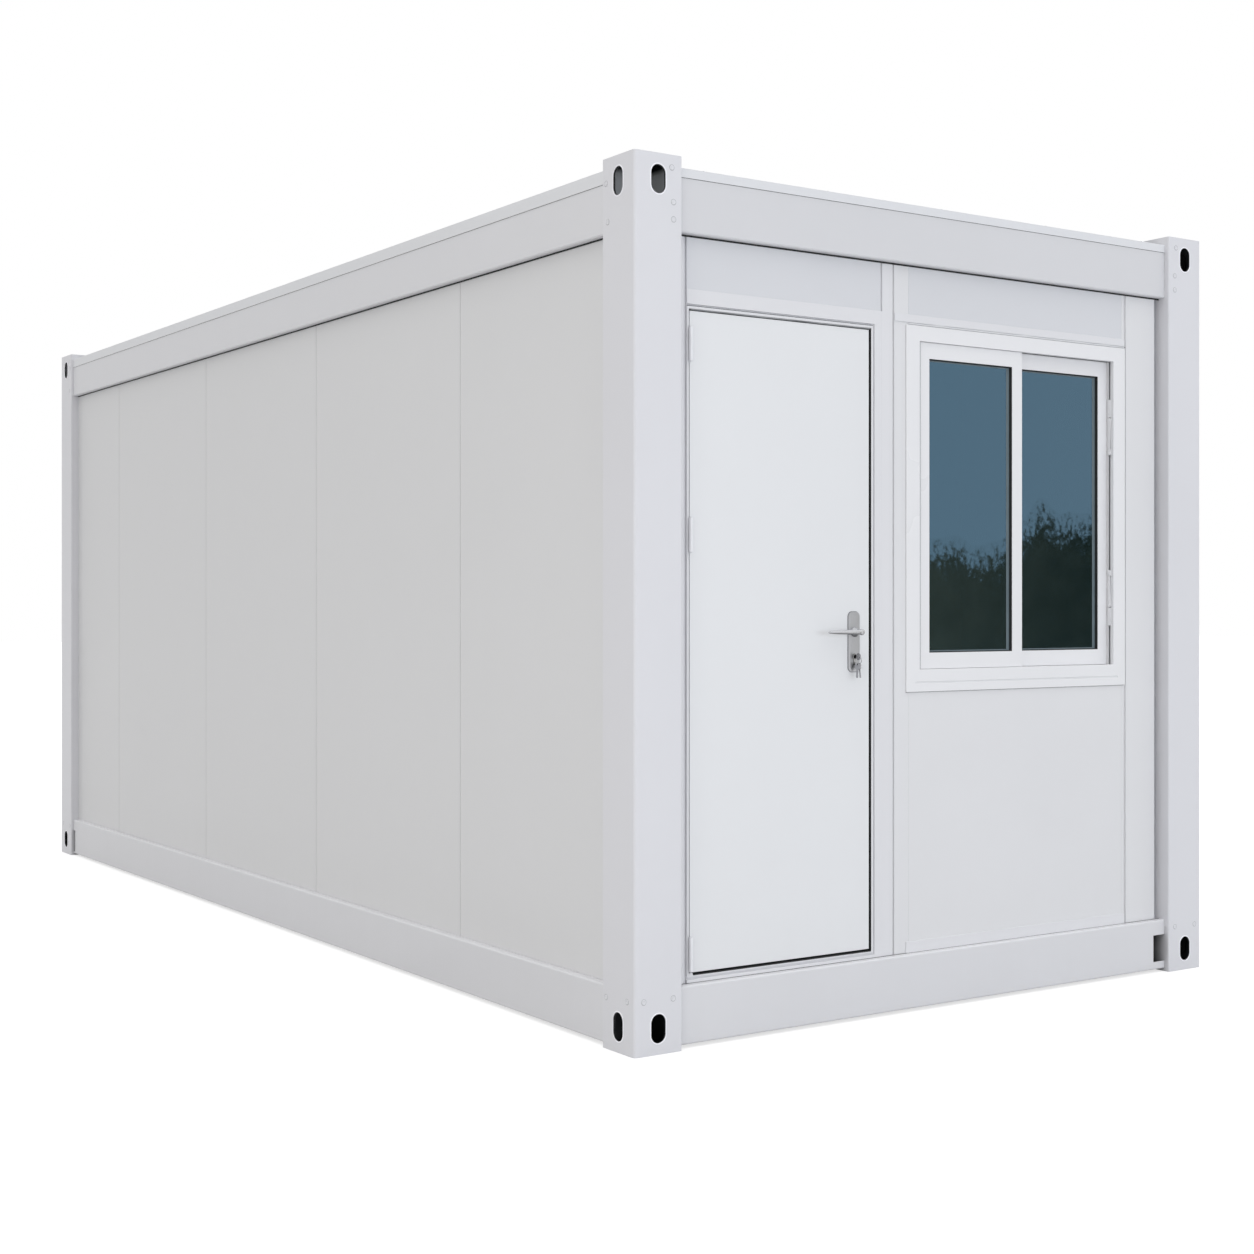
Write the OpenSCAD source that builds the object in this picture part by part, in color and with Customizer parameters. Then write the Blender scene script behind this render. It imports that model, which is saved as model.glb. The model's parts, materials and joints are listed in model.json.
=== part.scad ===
// Knock-down container cabin: a bolted steel box frame with a hinged door and a
// sliding window in one short side. Front is -Y, length runs along Y, +Z is up,
// and the origin lies on the ground under the middle of the cabin.

/* [Overall size] */
// Length over the corner posts
house_length = 5385; // [4600:1:6000]
// Width over the corner posts
house_width = 2438; // [2200:1:2700]
// Height over the corner fittings
house_height = 2591; // [2340:1:2896]

/* [Corner posts] */
// Side of the square post and of its fittings
post_size = 168; // [160:1:176]
// Wall of the post tube
post_wall = 4; // [3:0.5:8]
// Radius of the post's outer edge
post_edge_r = 10; // [4:1:14]
// Radius of the post's edges beside the beams
post_side_r = 6; // [3:1:7]

/* [Corner fittings] */
// Height of each corner fitting
fitting_height = 160; // [150:1:180]
// Wall of the corner fitting
fitting_wall = 8; // [6:1:10]
// Width of the round-ended lashing holes
hole_width = 51; // [40:1:56]
// Length of the round-ended lashing holes
hole_length = 84; // [70:1:90]
// From the end of the fitting to the middle of its side holes
hole_end_dist = 75; // [68:1:80]

/* [Frame beams] */
// Sheet thickness of the cold-formed beams
beam_wall = 3; // [2:0.5:5]
// Depth of the wide flanges, from the outer web inwards
beam_depth = 106; // [104:1:112]
// Height of the stiffening lips on the flange edges
beam_lip = 20; // [12:1:28]
// Radius of the outer edges of the beams
beam_edge_r = 6; // [3.5:0.5:8]
// How far the long beams lie behind the post faces
long_beam_recess = 12; // [8:1:16]
// How far the short beams lie behind the post faces
end_beam_recess = 20; // [16:1:24]
// Height of the floor beams
floor_beam_height = 172; // [165:1:190]
// Gap between the floor beams and the ground
floor_beam_lift = 10; // [6:1:14]
// Height of the roof beams
roof_beam_height = 185; // [180:1:200]
// How far the roof beams lie below the tops of the fittings
roof_beam_drop = 30; // [24:1:36]
// Depth of the narrow top flange of the roof beams
roof_flange_depth = 40; // [30:1:50]

/* [Bolt notches] */
// Length of the bolt notch in an end floor beam
end_notch_length = 57; // [45:1:80]
// Height of the bolt notch in an end floor beam
end_notch_height = 93; // [80:1:100]
// Height above the ground of the notch in an end floor beam
end_notch_lift = 37; // [32:1:44]
// Length of the bolt notch in a long floor beam
long_notch_length = 30; // [24:1:60]
// Height of the bolt notch in a long floor beam
long_notch_height = 110; // [90:1:116]
// Height above the ground of the notch in a long floor beam
long_notch_lift = 19; // [17:1:30]

/* [Floor and roof] */
// Sheet thickness of the joists
joist_wall = 2.5; // [2:0.5:4]
// Flange width of the joists
joist_width = 50; // [40:1:60]
// Height of the floor joists
floor_joist_height = 120; // [100:1:140]
// Widest spacing of the floor joists
floor_joist_spacing = 600; // [450:1:800]
// Height of the roof joists
roof_joist_height = 140; // [130:1:145]
// Widest spacing of the roof joists
roof_joist_spacing = 900; // [600:1:1000]
// Thickness of the floor board
deck_thickness = 18; // [12:1:22]
// Thickness of the ceiling lining
ceiling_thickness = 6; // [4:1:10]
// Thickness of the roof sheet
roof_sheet_thickness = 2; // [1.5:0.5:4]
// Height of the standing seams on the roof sheet
roof_seam_height = 22; // [15:1:25]
// Width of the standing seams
roof_seam_width = 12; // [8:1:20]
// Widest spacing of the standing seams
roof_seam_spacing = 480; // [300:1:600]
// Clear width of the open gutter beside the roof sheet
gutter_width = 30; // [20:1:50]
// Gap between the roof sheet and the corner fittings
sheet_corner_gap = 8; // [4:1:20]

/* [Roof edge flashing] */
// Thickness of the folded edge flashing
flashing_thickness = 2; // [1:0.5:3]
// Width of the flashing on top of the roof beam
flashing_top = 38; // [30:1:40]
// Height of the flashing on the long sides
long_flashing_height = 40; // [30:1:50]
// Height of the flashing on the short sides
end_flashing_height = 27; // [20:1:40]

/* [Wall panels] */
// Thickness of the sandwich panels
panel_thickness = 75; // [70:1:78]
// How far the long walls lie behind the post faces
long_wall_recess = 38; // [34:1:40]
// How far the short walls lie behind the post faces
end_wall_recess = 46; // [42:1:48]
// Width that one whole panel covers
panel_module = 1158; // [1000:1:1200]
// From the front post faces to the first seam of the long walls
first_seam = 1102; // [800:1:1158]
// Visible width of a panel seam
panel_seam = 3; // [2:0.5:6]
// Depth of a panel seam
seam_depth = 5; // [3:0.5:10]
// Play left between two panels, and between a panel and a post
panel_play = 0.3; // [0.2:0.1:0.8]

/* [Front wall] */
// Gap between the front wall and each corner post
post_gap = 22; // [14:1:28]
// Depth of the strip that closes the gap beside a post
post_gap_depth = 34; // [20:1:40]
// Face width of the trim beside the left post
edge_trim_width = 16; // [10:1:24]
// Width of the groove between that trim and the door frame
trim_groove = 10; // [6:1:12]
// Depth of the joint grooves in the front wall
groove_depth = 6; // [4:1:8]
// Width of the mullion between the door and the window bay
mullion_width = 50; // [40:1:60]
// Width of the groove between the mullion and the window bay
mullion_groove = 7; // [4:1:10]
// Width of the groove beside the panel over the door
header_groove = 7; // [4:1:10]
// Face width of the stile left of the window
window_stile = 48; // [40:1:60]
// Width of the groove right of the window
side_groove = 10; // [6:1:12]
// Width of the panel between that groove and the right post's gap
side_panel_width = 148; // [100:1:200]
// Height of the panel over the door frame
header_height = 157; // [120:1:200]
// Height of the rail over the window
head_rail_height = 25; // [20:1:36]
// Height of the rail at the foot of the window bay
foot_rail_height = 37; // [30:1:44]
// How far the rails stand out from the panels
rail_proud = 3; // [2:0.5:5]

/* [Door] */
// Width of the door leaf
door_width = 692; // [640:1:720]
// Thickness of the door leaf
door_thickness = 42; // [38:1:44]
// How far the leaf's face lies behind the front wall's face
door_setback = 2; // [1:0.5:4]
// Gap between leaf and frame on the hinge side
hinge_gap = 5; // [5:0.5:6]
// Gap between leaf and frame on the lock side
lock_gap = 7.5; // [7:0.5:9]
// Gap between leaf and frame at the top
top_gap = 6; // [5:0.5:8]
// Gap between leaf and frame at the bottom
bottom_gap = 6; // [5:0.5:8]
// Gap between the leaf's back and the door stop
stop_gap = 6; // [5:0.5:8]

/* [Door frame] */
// How far the frame stands out from the front wall
frame_proud = 2; // [1:0.5:4]
// Width of the lip that borders the leaf
frame_lip = 7.5; // [6:0.5:9]
// Width of the groove around that lip
frame_groove = 6; // [4:0.5:8]
// Width of the frame on the lock side
jamb_width = 40; // [34:1:46]
// Height of the frame over the leaf
head_height = 57; // [44:1:64]
// Height of the sill under the leaf
sill_height = 24; // [20:1:28]
// Overlap of the door stop behind the leaf
stop_width = 16; // [12:1:20]

/* [Door hinges] */
// Outer diameter of the hinge knuckles
knuckle_d = 12; // [10:1:14]
// Diameter of the hinge pin
hinge_pin_d = 6; // [4:1:7]
// Running clearance of the hinge pin, all round
pin_clearance = 0.05; // [0.03:0.01:0.1]
// Length of a whole hinge
hinge_length = 100; // [80:1:120]
// Thickness of the hinge plates in the gap
hinge_plate = 1.8; // [1.5:0.1:2]
// Width of the hinge plates
hinge_plate_width = 34; // [24:1:36]
// Play between the knuckles, end to end
knuckle_play = 0.5; // [0.3:0.1:1]
// Gap between the knuckles and the face of the door frame
knuckle_standoff = 0.5; // [0.3:0.1:1]
// Middle of the top hinge, below the leaf's top
top_hinge_drop = 98; // [80:1:200]
// Middle of the second hinge, below the leaf's top
second_hinge_drop = 658; // [400:1:900]
// Middle of the bottom hinge, above the leaf's bottom
bottom_hinge_rise = 56; // [56:1:200]

/* [Door handle] */
// Width of the handle plates
plate_width = 46; // [42:1:52]
// Height of the handle plates
plate_height = 188; // [180:1:220]
// Thickness of the handle plates
plate_thickness = 6; // [4:1:8]
// Radius of the handle plates' corners
plate_corner_r = 15; // [8:1:20]
// From the leaf's lock edge to the spindle
backset = 63; // [50:1:70]
// Height of the spindle above the leaf's bottom
spindle_rise = 996; // [900:1:1100]
// From the plate's top down to the spindle
spindle_drop = 63; // [50:1:70]
// Diameter of the lever's boss
boss_d = 20; // [18:1:24]
// Diameter of the spindle
spindle_d = 8; // [7:1:10]
// Bore of the leaf around the spindle
spindle_bore = 12; // [12:1:16]
// Length of the lever from the spindle to its tip
lever_length = 135; // [110:1:140]
// Height of the lever's grip
grip_height = 16; // [14:1:20]
// Thickness of the lever's grip
grip_thickness = 14; // [10:1:16]
// How far the grip's front stands out from the leaf
lever_projection = 46; // [44:1:46]
// Running clearance of the lever's boss, all round
boss_clearance = 0.1; // [0.1:0.05:0.3]
// From the spindle down to the lock cylinder
lock_spacing = 77; // [72:1:92]
// Diameter of the lock cylinder
lock_d = 17; // [16:1:18]
// Width of the lock cylinder's lower part
lock_web = 10; // [9:1:11]
// Overall height of the lock cylinder
lock_height = 33; // [30:1:36]
// How far the lock cylinder stands out from the plates
lock_proud = 3; // [2:1:6]

/* [Keys] */
// Diameter of a key's bow
bow_d = 22; // [18:1:24]
// Thickness of a key
key_thickness = 2.5; // [2:0.5:3]
// Width of a key's blade
blade_width = 8; // [7:1:9]
// Length of a hanging key's blade
blade_length = 26; // [20:1:30]
// Spacing of the two hanging keys
hung_key_spacing = 6; // [4:0.5:8]
// Outer diameter of the key ring
ring_d = 26; // [24:1:30]
// Thickness of the key ring's wire
ring_wire = 2; // [1.5:0.5:3]
// How far the key stands out from the lock cylinder
key_reach = 5; // [5:1:10]

/* [Window] */
// Height of the window over its flange
window_height = 1172; // [1000:1:1200]
// Gap between the window's flange and the rail over it
window_top_gap = 8; // [2:1:12]
// Overlap of the flange on the wall around the window
flange_overlap = 12; // [10:1:16]
// Clearance of the window's body in the wall
window_play = 1; // [0.5:0.5:3]
// How far the flange stands out from the wall
flange_proud = 5; // [4:1:12]
// How far the outer sash lies behind the face of the wall
sash_recess = 2; // [1:1:4]
// Width of the window frame at the sides, flange included
window_jamb = 58; // [54:1:70]
// Height of the window frame at the top
window_head = 49; // [44:1:60]
// Height of the window frame at the bottom
window_sill = 72; // [60:1:80]
// From the foot of the window up to the groove in its sill
sill_groove_rise = 27; // [20:1:34]
// Width of the groove in the sill
sill_groove_width = 5; // [3:1:6]
// Depth of the groove in the sill
sill_groove_depth = 3; // [2:1:4]
// From the sides of the window to the ends of the groove in its sill
sill_groove_inset = 38; // [30:1:50]
// Thickness of each sash
sash_thickness = 20; // [18:1:22]
// Gap between the two sashes
sash_gap = 1.5; // [1:0.5:3]
// Width of the sash stiles
sash_stile = 46; // [40:1:52]
// Height of the sash rails
sash_rail = 52; // [46:1:58]
// Overlap of the two sashes
sash_overlap = 27; // [20:1:46]
// Play between a sash and the window frame
sash_play = 0.8; // [0.5:0.1:0.9]
// Thickness of the panes
pane_thickness = 5; // [4:1:6]
// Setback of each pane behind its sash's face
pane_setback = 12; // [10:1:12]
// Depth of the glazing groove around each pane
pane_edge = 10; // [6:1:14]
// Width of the groove of the free track, in both jambs
track_width = 10; // [6:1:12]
// Depth of the groove of the free track
track_depth = 5; // [3:1:8]
// Length of each catch on the right jamb
catch_length = 190; // [120:1:200]
// Thickness of the catches
catch_thickness = 5; // [3:1:6]
// Width of the catches
catch_width = 16; // [13:1:18]
// Middle of the lower catch above the foot of the opening
low_catch_rise = 230; // [150:1:300]
// Middle of the upper catch below the head of the opening
high_catch_drop = 226; // [150:1:300]

/* [Hidden] */
$fn = 48;

// Length of a cutter beyond the face it passes through
CUT = 1;

half_length = house_length / 2;
half_width = house_width / 2;
left_edge = -half_width;
front_edge = -half_length;

// Levels of the frame
floor_top = floor_beam_lift + floor_beam_height;
deck_top = floor_top + deck_thickness;
roof_beam_top = house_height - roof_beam_drop;
roof_beam_bottom = roof_beam_top - roof_beam_height;
ceiling_bottom = roof_beam_bottom - ceiling_thickness;
wall_height = roof_beam_bottom - floor_top;
roof_joist_top = roof_beam_bottom + roof_joist_height;
roof_sheet_y = half_length - end_beam_recess - roof_flange_depth - gutter_width;
long_beam_inner = long_beam_recess + beam_depth;
end_beam_inner = end_beam_recess + beam_depth;
long_wall_inner = long_wall_recess + panel_thickness;
end_wall_inner = end_wall_recess + panel_thickness;

// Stations along the front wall, from its left post to its right one
trim_x = left_edge + post_size + post_gap;
trim_groove_x = trim_x + edge_trim_width;
frame_x = trim_groove_x + trim_groove;
opening_x = frame_x + frame_lip;
leaf_x = opening_x + hinge_gap;
leaf_right = leaf_x + door_width;
opening_right = leaf_right + lock_gap;
frame_right = opening_right + jamb_width;
mullion_right = frame_right + mullion_width;
stile_x = mullion_right + mullion_groove;
window_x = stile_x + window_stile;
side_panel_right = half_width - post_size - post_gap;
side_panel_x = side_panel_right - side_panel_width;
window_right = side_panel_x - side_groove;

// Levels of the door
sill_top = floor_top + sill_height;
leaf_bottom = sill_top + bottom_gap;
head_top = roof_beam_bottom - header_height;
opening_top = head_top - head_height;
leaf_top = opening_top - top_gap;

// Depths of the front wall and the door, behind the front of the posts
front_face = front_edge + end_wall_recess;
front_inner = front_face + panel_thickness;
leaf_face = front_face + door_setback;
leaf_back = leaf_face + door_thickness;
stop_face = leaf_back + stop_gap;

// Window levels and depths
window_top = head_top - head_rail_height - window_top_gap;
window_bottom = window_top - window_height;
sight_x = window_x + window_jamb;
sight_right = window_right - window_jamb;
sight_bottom = window_bottom + window_sill;
sight_top = window_top - window_head;
outer_sash_face = front_face + sash_recess;
inner_sash_face = outer_sash_face + sash_thickness + sash_gap;
outer_track_y = outer_sash_face + (sash_thickness - track_width) / 2;
inner_track_y = inner_sash_face + (sash_thickness - track_width) / 2;
sash_width = (sight_right - sight_x - 2 * sash_play + sash_overlap) / 2;
sash_height = sight_top - sight_bottom - 2 * sash_play;

// Door hinges and handle
hinge_x = leaf_x - hinge_gap / 2;
hinge_y = front_face - frame_proud - knuckle_standoff - knuckle_d / 2;
hinge_z = [leaf_bottom + bottom_hinge_rise, leaf_top - second_hinge_drop,
           leaf_top - top_hinge_drop];
spindle_x = leaf_right - backset;
spindle_z = leaf_bottom + spindle_rise;
plate_z = spindle_z + spindle_drop - plate_height;
lock_z = spindle_z - lock_spacing;
grip_gap = lever_projection - grip_thickness;
key_y = leaf_face - plate_thickness - lock_proud - key_reach;

FRAME_PAINT = "gainsboro";
PANEL_PAINT = "whitesmoke";

// ---- shared shapes ----

// What a rounded corner at the origin takes off a square
module rounding_cutter(r) {
    difference() {
        translate([-CUT, -CUT]) square(r + CUT);
        translate([r, r]) circle(r);
    }
}

// Post section with its outer edge at the origin, and a square edge inside the cabin
module post_outline() {
    difference() {
        square(post_size);
        rounding_cutter(post_edge_r);
        translate([post_size, 0]) mirror([1, 0, 0]) rounding_cutter(post_side_r);
        translate([0, post_size]) mirror([0, 1, 0]) rounding_cutter(post_side_r);
    }
}

// Places a corner piece, drawn inwards from the origin, at one of the four corners
module at_corner(side_x, side_y) {
    translate([side_x * half_width, side_y * half_length, 0])
        mirror([side_x > 0 ? 1 : 0, 0, 0])
            mirror([0, side_y > 0 ? 1 : 0, 0])
                children();
}

// Round-ended slot cutter through a wall of the given depth, long way along Y
module slot_cutter(width, length, depth) {
    reach = (length - width) / 2;
    for (end = [-reach, reach])
        translate([0, end, -CUT]) cylinder(d = width, h = depth + 2 * CUT);
    translate([-width / 2, -reach, -CUT]) cube([width, 2 * reach, depth + 2 * CUT]);
}

// Box given by its two opposite corners
module block(low, high) {
    translate(low) cube(high - low);
}

// The four posts' squares, as cutters for floor and ceiling
module post_cutters() {
    for (side_x = [-1, 1])
        for (side_y = [-1, 1])
            at_corner(side_x, side_y)
                translate([-CUT, -CUT, 0])
                    cube([post_size + CUT, post_size + CUT, house_height]);
}

// ---- corner posts and fittings ----

module corner_post(side_x, side_y) {
    color(FRAME_PAINT)
    at_corner(side_x, side_y)
        translate([0, 0, fitting_height])
            linear_extrude(house_height - 2 * fitting_height)
                difference() {
                    post_outline();
                    translate([post_wall, post_wall])
                        square(post_size - 2 * post_wall);
                }
}

// Hollow block with a lashing hole in both outer faces and in its end plate
module corner_fitting(side_x, side_y) {
    middle = post_size / 2;
    color(FRAME_PAINT)
    at_corner(side_x, side_y)
        difference() {
            linear_extrude(fitting_height) post_outline();
            translate([fitting_wall, fitting_wall, fitting_wall])
                cube([post_size - 2 * fitting_wall, post_size - 2 * fitting_wall,
                      fitting_height - 2 * fitting_wall]);
            translate([middle, 0, hole_end_dist])
                rotate([90, 0, 0])
                    translate([0, 0, -fitting_wall])
                        slot_cutter(hole_width, hole_length, fitting_wall);
            translate([0, middle, hole_end_dist])
                rotate([90, 0, 90])
                    slot_cutter(hole_width, hole_length, fitting_wall);
            translate([middle, middle, 0])
                slot_cutter(hole_width, hole_length, fitting_wall);
        }
}

module base_fitting(side_x, side_y) {
    corner_fitting(side_x, side_y);
}

module roof_fitting(side_x, side_y) {
    translate([0, 0, house_height])
        mirror([0, 0, 1])
            corner_fitting(side_x, side_y);
}

// ---- frame beams ----

// Outline of a beam with its two outer edges rounded: depth along X, height along Y
module beam_outline(height) {
    translate([beam_edge_r, 0]) square([beam_depth - beam_edge_r, height]);
    translate([0, beam_edge_r]) square([beam_depth, height - 2 * beam_edge_r]);
    for (y = [beam_edge_r, height - beam_edge_r])
        translate([beam_edge_r, y]) circle(beam_edge_r);
}

// Lipped channel, open towards the inside of the cabin
module beam_section(height, top_depth) {
    intersection() {
        beam_outline(height);
        union() {
            square([beam_wall, height]);
            square([beam_depth, beam_wall]);
            translate([beam_depth - beam_wall, 0]) square([beam_wall, beam_lip]);
            translate([0, height - beam_wall]) square([top_depth, beam_wall]);
            translate([top_depth - beam_wall, height - beam_lip]) square([beam_wall, beam_lip]);
            // Fillets that keep the sheet's thickness at the rounded edges
            square(beam_edge_r);
            translate([0, height - beam_edge_r]) square(beam_edge_r);
        }
    }
}

// Beam between two posts, lying along X behind the plane y = 0
module beam(length, height, top_depth) {
    translate([-length / 2, 0, 0])
        rotate([90, 0, 90])
            linear_extrude(length)
                beam_section(height, top_depth);
}

// Bolt notch at the right-hand end of a floor beam
module notch_cutter(length, notch_length, notch_height, notch_lift) {
    translate([length / 2 - notch_length, -CUT, notch_lift - floor_beam_lift])
        cube([notch_length + CUT, beam_edge_r + 2 * CUT, notch_height]);
}

module end_floor_beam() {
    length = house_width - 2 * post_size;
    color(FRAME_PAINT)
    translate([0, front_edge + end_beam_recess, floor_beam_lift])
        difference() {
            beam(length, floor_beam_height, beam_depth);
            notch_cutter(length, end_notch_length, end_notch_height, end_notch_lift);
        }
}

module end_roof_beam() {
    color(FRAME_PAINT)
    translate([0, front_edge + end_beam_recess, roof_beam_bottom])
        beam(house_width - 2 * post_size, roof_beam_height, roof_flange_depth);
}

module long_floor_beam() {
    length = house_length - 2 * post_size;
    color(FRAME_PAINT)
    translate([left_edge + long_beam_recess, 0, floor_beam_lift])
        rotate([0, 0, -90])
            mirror([1, 0, 0])
                difference() {
                    beam(length, floor_beam_height, beam_depth);
                    notch_cutter(length, long_notch_length, long_notch_height,
                                 long_notch_lift);
                }
}

module long_roof_beam() {
    color(FRAME_PAINT)
    translate([left_edge + long_beam_recess, 0, roof_beam_bottom])
        rotate([0, 0, -90])
            mirror([1, 0, 0])
                beam(house_length - 2 * post_size, roof_beam_height, roof_flange_depth);
}

// ---- floor ----

// Cold-formed joist along X, centred on x = 0, its web at y = 0
module joist(length, height) {
    translate([-length / 2, 0, 0]) cube([length, joist_wall, height]);
    for (z = [0, height - joist_wall])
        translate([-length / 2, 0, z]) cube([length, joist_width, joist_wall]);
}

// Row of joists between the long beams, as widely spaced as allowed
module joist_row(height, spacing) {
    first = front_edge + end_beam_inner + joist_width;
    run = house_length - 2 * (end_beam_inner + joist_width) - joist_width;
    count = ceil(run / spacing);
    for (i = [0:count])
        translate([0, first + i * run / count, 0])
            joist(house_width - 2 * long_beam_inner, height);
}

module floor_joists() {
    color("silver")
    translate([0, 0, floor_top - floor_joist_height])
        joist_row(floor_joist_height, floor_joist_spacing);
}

module floor_deck() {
    color("dimgray")
    difference() {
        block([left_edge + long_wall_inner, front_inner, floor_top],
              [half_width - long_wall_inner, -front_inner, deck_top]);
        post_cutters();
    }
}

// ---- roof ----

module roof_joists() {
    color("silver")
    translate([0, 0, roof_beam_bottom])
        joist_row(roof_joist_height, roof_joist_spacing);
}

// Sheet between two sides, carrying the standing seams from the given one inwards
module seamed_sheet(x_low, x_high, y_end, first_seam_index) {
    seam_run = 2 * roof_sheet_y - roof_seam_width;
    count = ceil(seam_run / roof_seam_spacing);
    block([x_low, -y_end, roof_joist_top],
          [x_high, y_end, roof_joist_top + roof_sheet_thickness]);
    for (i = [first_seam_index:count - first_seam_index])
        translate([x_low, -roof_sheet_y + i * seam_run / count, roof_joist_top])
            cube([x_high - x_low, roof_seam_width, roof_sheet_thickness + roof_seam_height]);
}

// Middle sheet between the corner fittings, and a strip beside it along each long side
module roof_sheet() {
    fitting_inner = post_size + sheet_corner_gap;
    middle_x = half_width - fitting_inner;
    outer_x = half_width - long_beam_recess - roof_flange_depth - gutter_width;
    color("lightgray") {
        seamed_sheet(-middle_x, middle_x, roof_sheet_y, 0);
        for (side = [0, 1])
            mirror([side, 0, 0])
                seamed_sheet(middle_x + panel_play, outer_x, half_length - fitting_inner, 1);
    }
}

// Angle folded over a roof beam's top edge, lying along X
module flashing(length, recess, height) {
    translate([-length / 2, recess, roof_beam_top])
        cube([length, flashing_top, flashing_thickness]);
    translate([-length / 2, recess - flashing_thickness,
               roof_beam_top + flashing_thickness - height])
        cube([length, flashing_thickness, height]);
}

module roof_flashings() {
    color(FRAME_PAINT)
    for (turn = [0, 180])
        rotate([0, 0, turn]) {
            translate([0, front_edge, 0])
                flashing(house_width - 2 * post_size, end_beam_recess, end_flashing_height);
            translate([left_edge, 0, 0])
                rotate([0, 0, -90])
                    mirror([1, 0, 0])
                        flashing(house_length - 2 * post_size, long_beam_recess,
                                 long_flashing_height);
        }
}

module ceiling() {
    color("white")
    difference() {
        block([left_edge + long_wall_inner, front_inner, ceiling_bottom],
              [half_width - long_wall_inner, -front_inner, roof_beam_bottom]);
        post_cutters();
    }
}

// ---- plain walls ----

// One sandwich panel along X from x = 0, with a tongue towards the next panel
module wall_panel(width, tongue) {
    cube([width - (tongue ? panel_seam : 0), panel_thickness, wall_height]);
    if (tongue)
        translate([0, seam_depth, 0])
            cube([width - panel_play, panel_thickness - 2 * seam_depth, wall_height]);
}

// Row of panels along X over the given length, its first seam at the given distance
module panel_row(length, first) {
    count = ceil((length - first) / panel_module);
    for (i = [0:count]) {
        start = i == 0 ? 0 : first + (i - 1) * panel_module;
        end = min(length, first + i * panel_module);
        translate([start, 0, 0])
            wall_panel(end - start, i < count);
    }
}

module left_wall() {
    length = house_length - 2 * (post_size + panel_play);
    color(PANEL_PAINT)
    translate([left_edge + long_wall_recess, front_edge + post_size + panel_play, floor_top])
        rotate([0, 0, 90])
            mirror([0, 1, 0])
                panel_row(length, first_seam - post_size - panel_play);
}

module right_wall() {
    mirror([1, 0, 0]) left_wall();
}

module rear_wall() {
    length = house_width - 2 * (post_size + panel_play);
    color(PANEL_PAINT)
    rotate([0, 0, 180])
        translate([-length / 2, front_face, floor_top])
            panel_row(length, panel_module);
}

// ---- front wall ----

// Full-depth piece of the front wall between two stations and two levels
module front_piece(x_low, x_high, z_low, z_high) {
    block([x_low, front_face, z_low], [x_high, front_inner, z_high]);
}

// The same, set back by the depth of a groove
module groove_piece(x_low, x_high, z_low, z_high) {
    block([x_low, front_face + groove_depth, z_low], [x_high, front_inner, z_high]);
}

// Strip that closes the gap beside a post
module gap_piece(x_low, x_high) {
    block([x_low, front_face + post_gap_depth, floor_top],
          [x_high, front_inner, roof_beam_bottom]);
}

module front_edge_trim() {
    color(PANEL_PAINT) {
        front_piece(trim_x, trim_groove_x, floor_top, roof_beam_bottom);
        groove_piece(trim_groove_x, frame_x, floor_top, roof_beam_bottom);
        gap_piece(left_edge + post_size, trim_x);
    }
}

module door_header_panel() {
    color(PANEL_PAINT)
    front_piece(frame_x, frame_right, head_top, roof_beam_bottom);
}

module front_mullion() {
    color(PANEL_PAINT)
    difference() {
        front_piece(frame_right, mullion_right, floor_top, roof_beam_bottom);
        block([frame_right - CUT, front_face - CUT, head_top],
              [frame_right + header_groove, front_face + groove_depth, roof_beam_bottom + CUT]);
    }
}

module window_stile_panel() {
    color(PANEL_PAINT) {
        groove_piece(mullion_right, stile_x, floor_top, roof_beam_bottom);
        front_piece(stile_x, window_x + flange_overlap, floor_top, roof_beam_bottom);
    }
}

module window_header_panel() {
    color(PANEL_PAINT)
    front_piece(window_x + flange_overlap, window_right - flange_overlap,
                window_top - flange_overlap, roof_beam_bottom);
}

module window_lower_panel() {
    color(PANEL_PAINT)
    front_piece(window_x + flange_overlap, window_right - flange_overlap,
                floor_top, window_bottom + flange_overlap);
}

module front_side_panel() {
    color(PANEL_PAINT) {
        front_piece(window_right - flange_overlap, window_right, floor_top, roof_beam_bottom);
        groove_piece(window_right, side_panel_x, floor_top, roof_beam_bottom);
        front_piece(side_panel_x, side_panel_right, floor_top, roof_beam_bottom);
        gap_piece(side_panel_right, half_width - post_size);
    }
}

module front_rails() {
    color("white") {
        block([stile_x, front_face - rail_proud, head_top - head_rail_height],
              [window_right, front_face, head_top]);
        block([window_x, front_face - rail_proud, floor_top],
              [window_right, front_face, floor_top + foot_rail_height]);
    }
}

// ---- door frame and window ----

// Rectangular cutter through the frame, grown by a margin on all four sides
module door_cutter(margin, y_low, y_high) {
    block([opening_x - margin, y_low, sill_top - margin],
          [opening_right + margin, y_high, opening_top + margin]);
}

module door_frame() {
    face = front_face - frame_proud;
    color("white")
    difference() {
        block([frame_x, face, floor_top], [frame_right, front_inner, head_top]);
        door_cutter(0, face - CUT, stop_face);
        door_cutter(-stop_width, face - CUT, front_inner + CUT);
        difference() {
            door_cutter(frame_lip + frame_groove, face - CUT, face + groove_depth);
            door_cutter(frame_lip, face - 2 * CUT, face + groove_depth + CUT);
        }
    }
}

// Block over the window's whole size, shrunk by a margin
module window_block(margin, y_low, y_high) {
    block([window_x + margin, y_low, window_bottom + margin],
          [window_right - margin, y_high, window_top - margin]);
}

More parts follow.
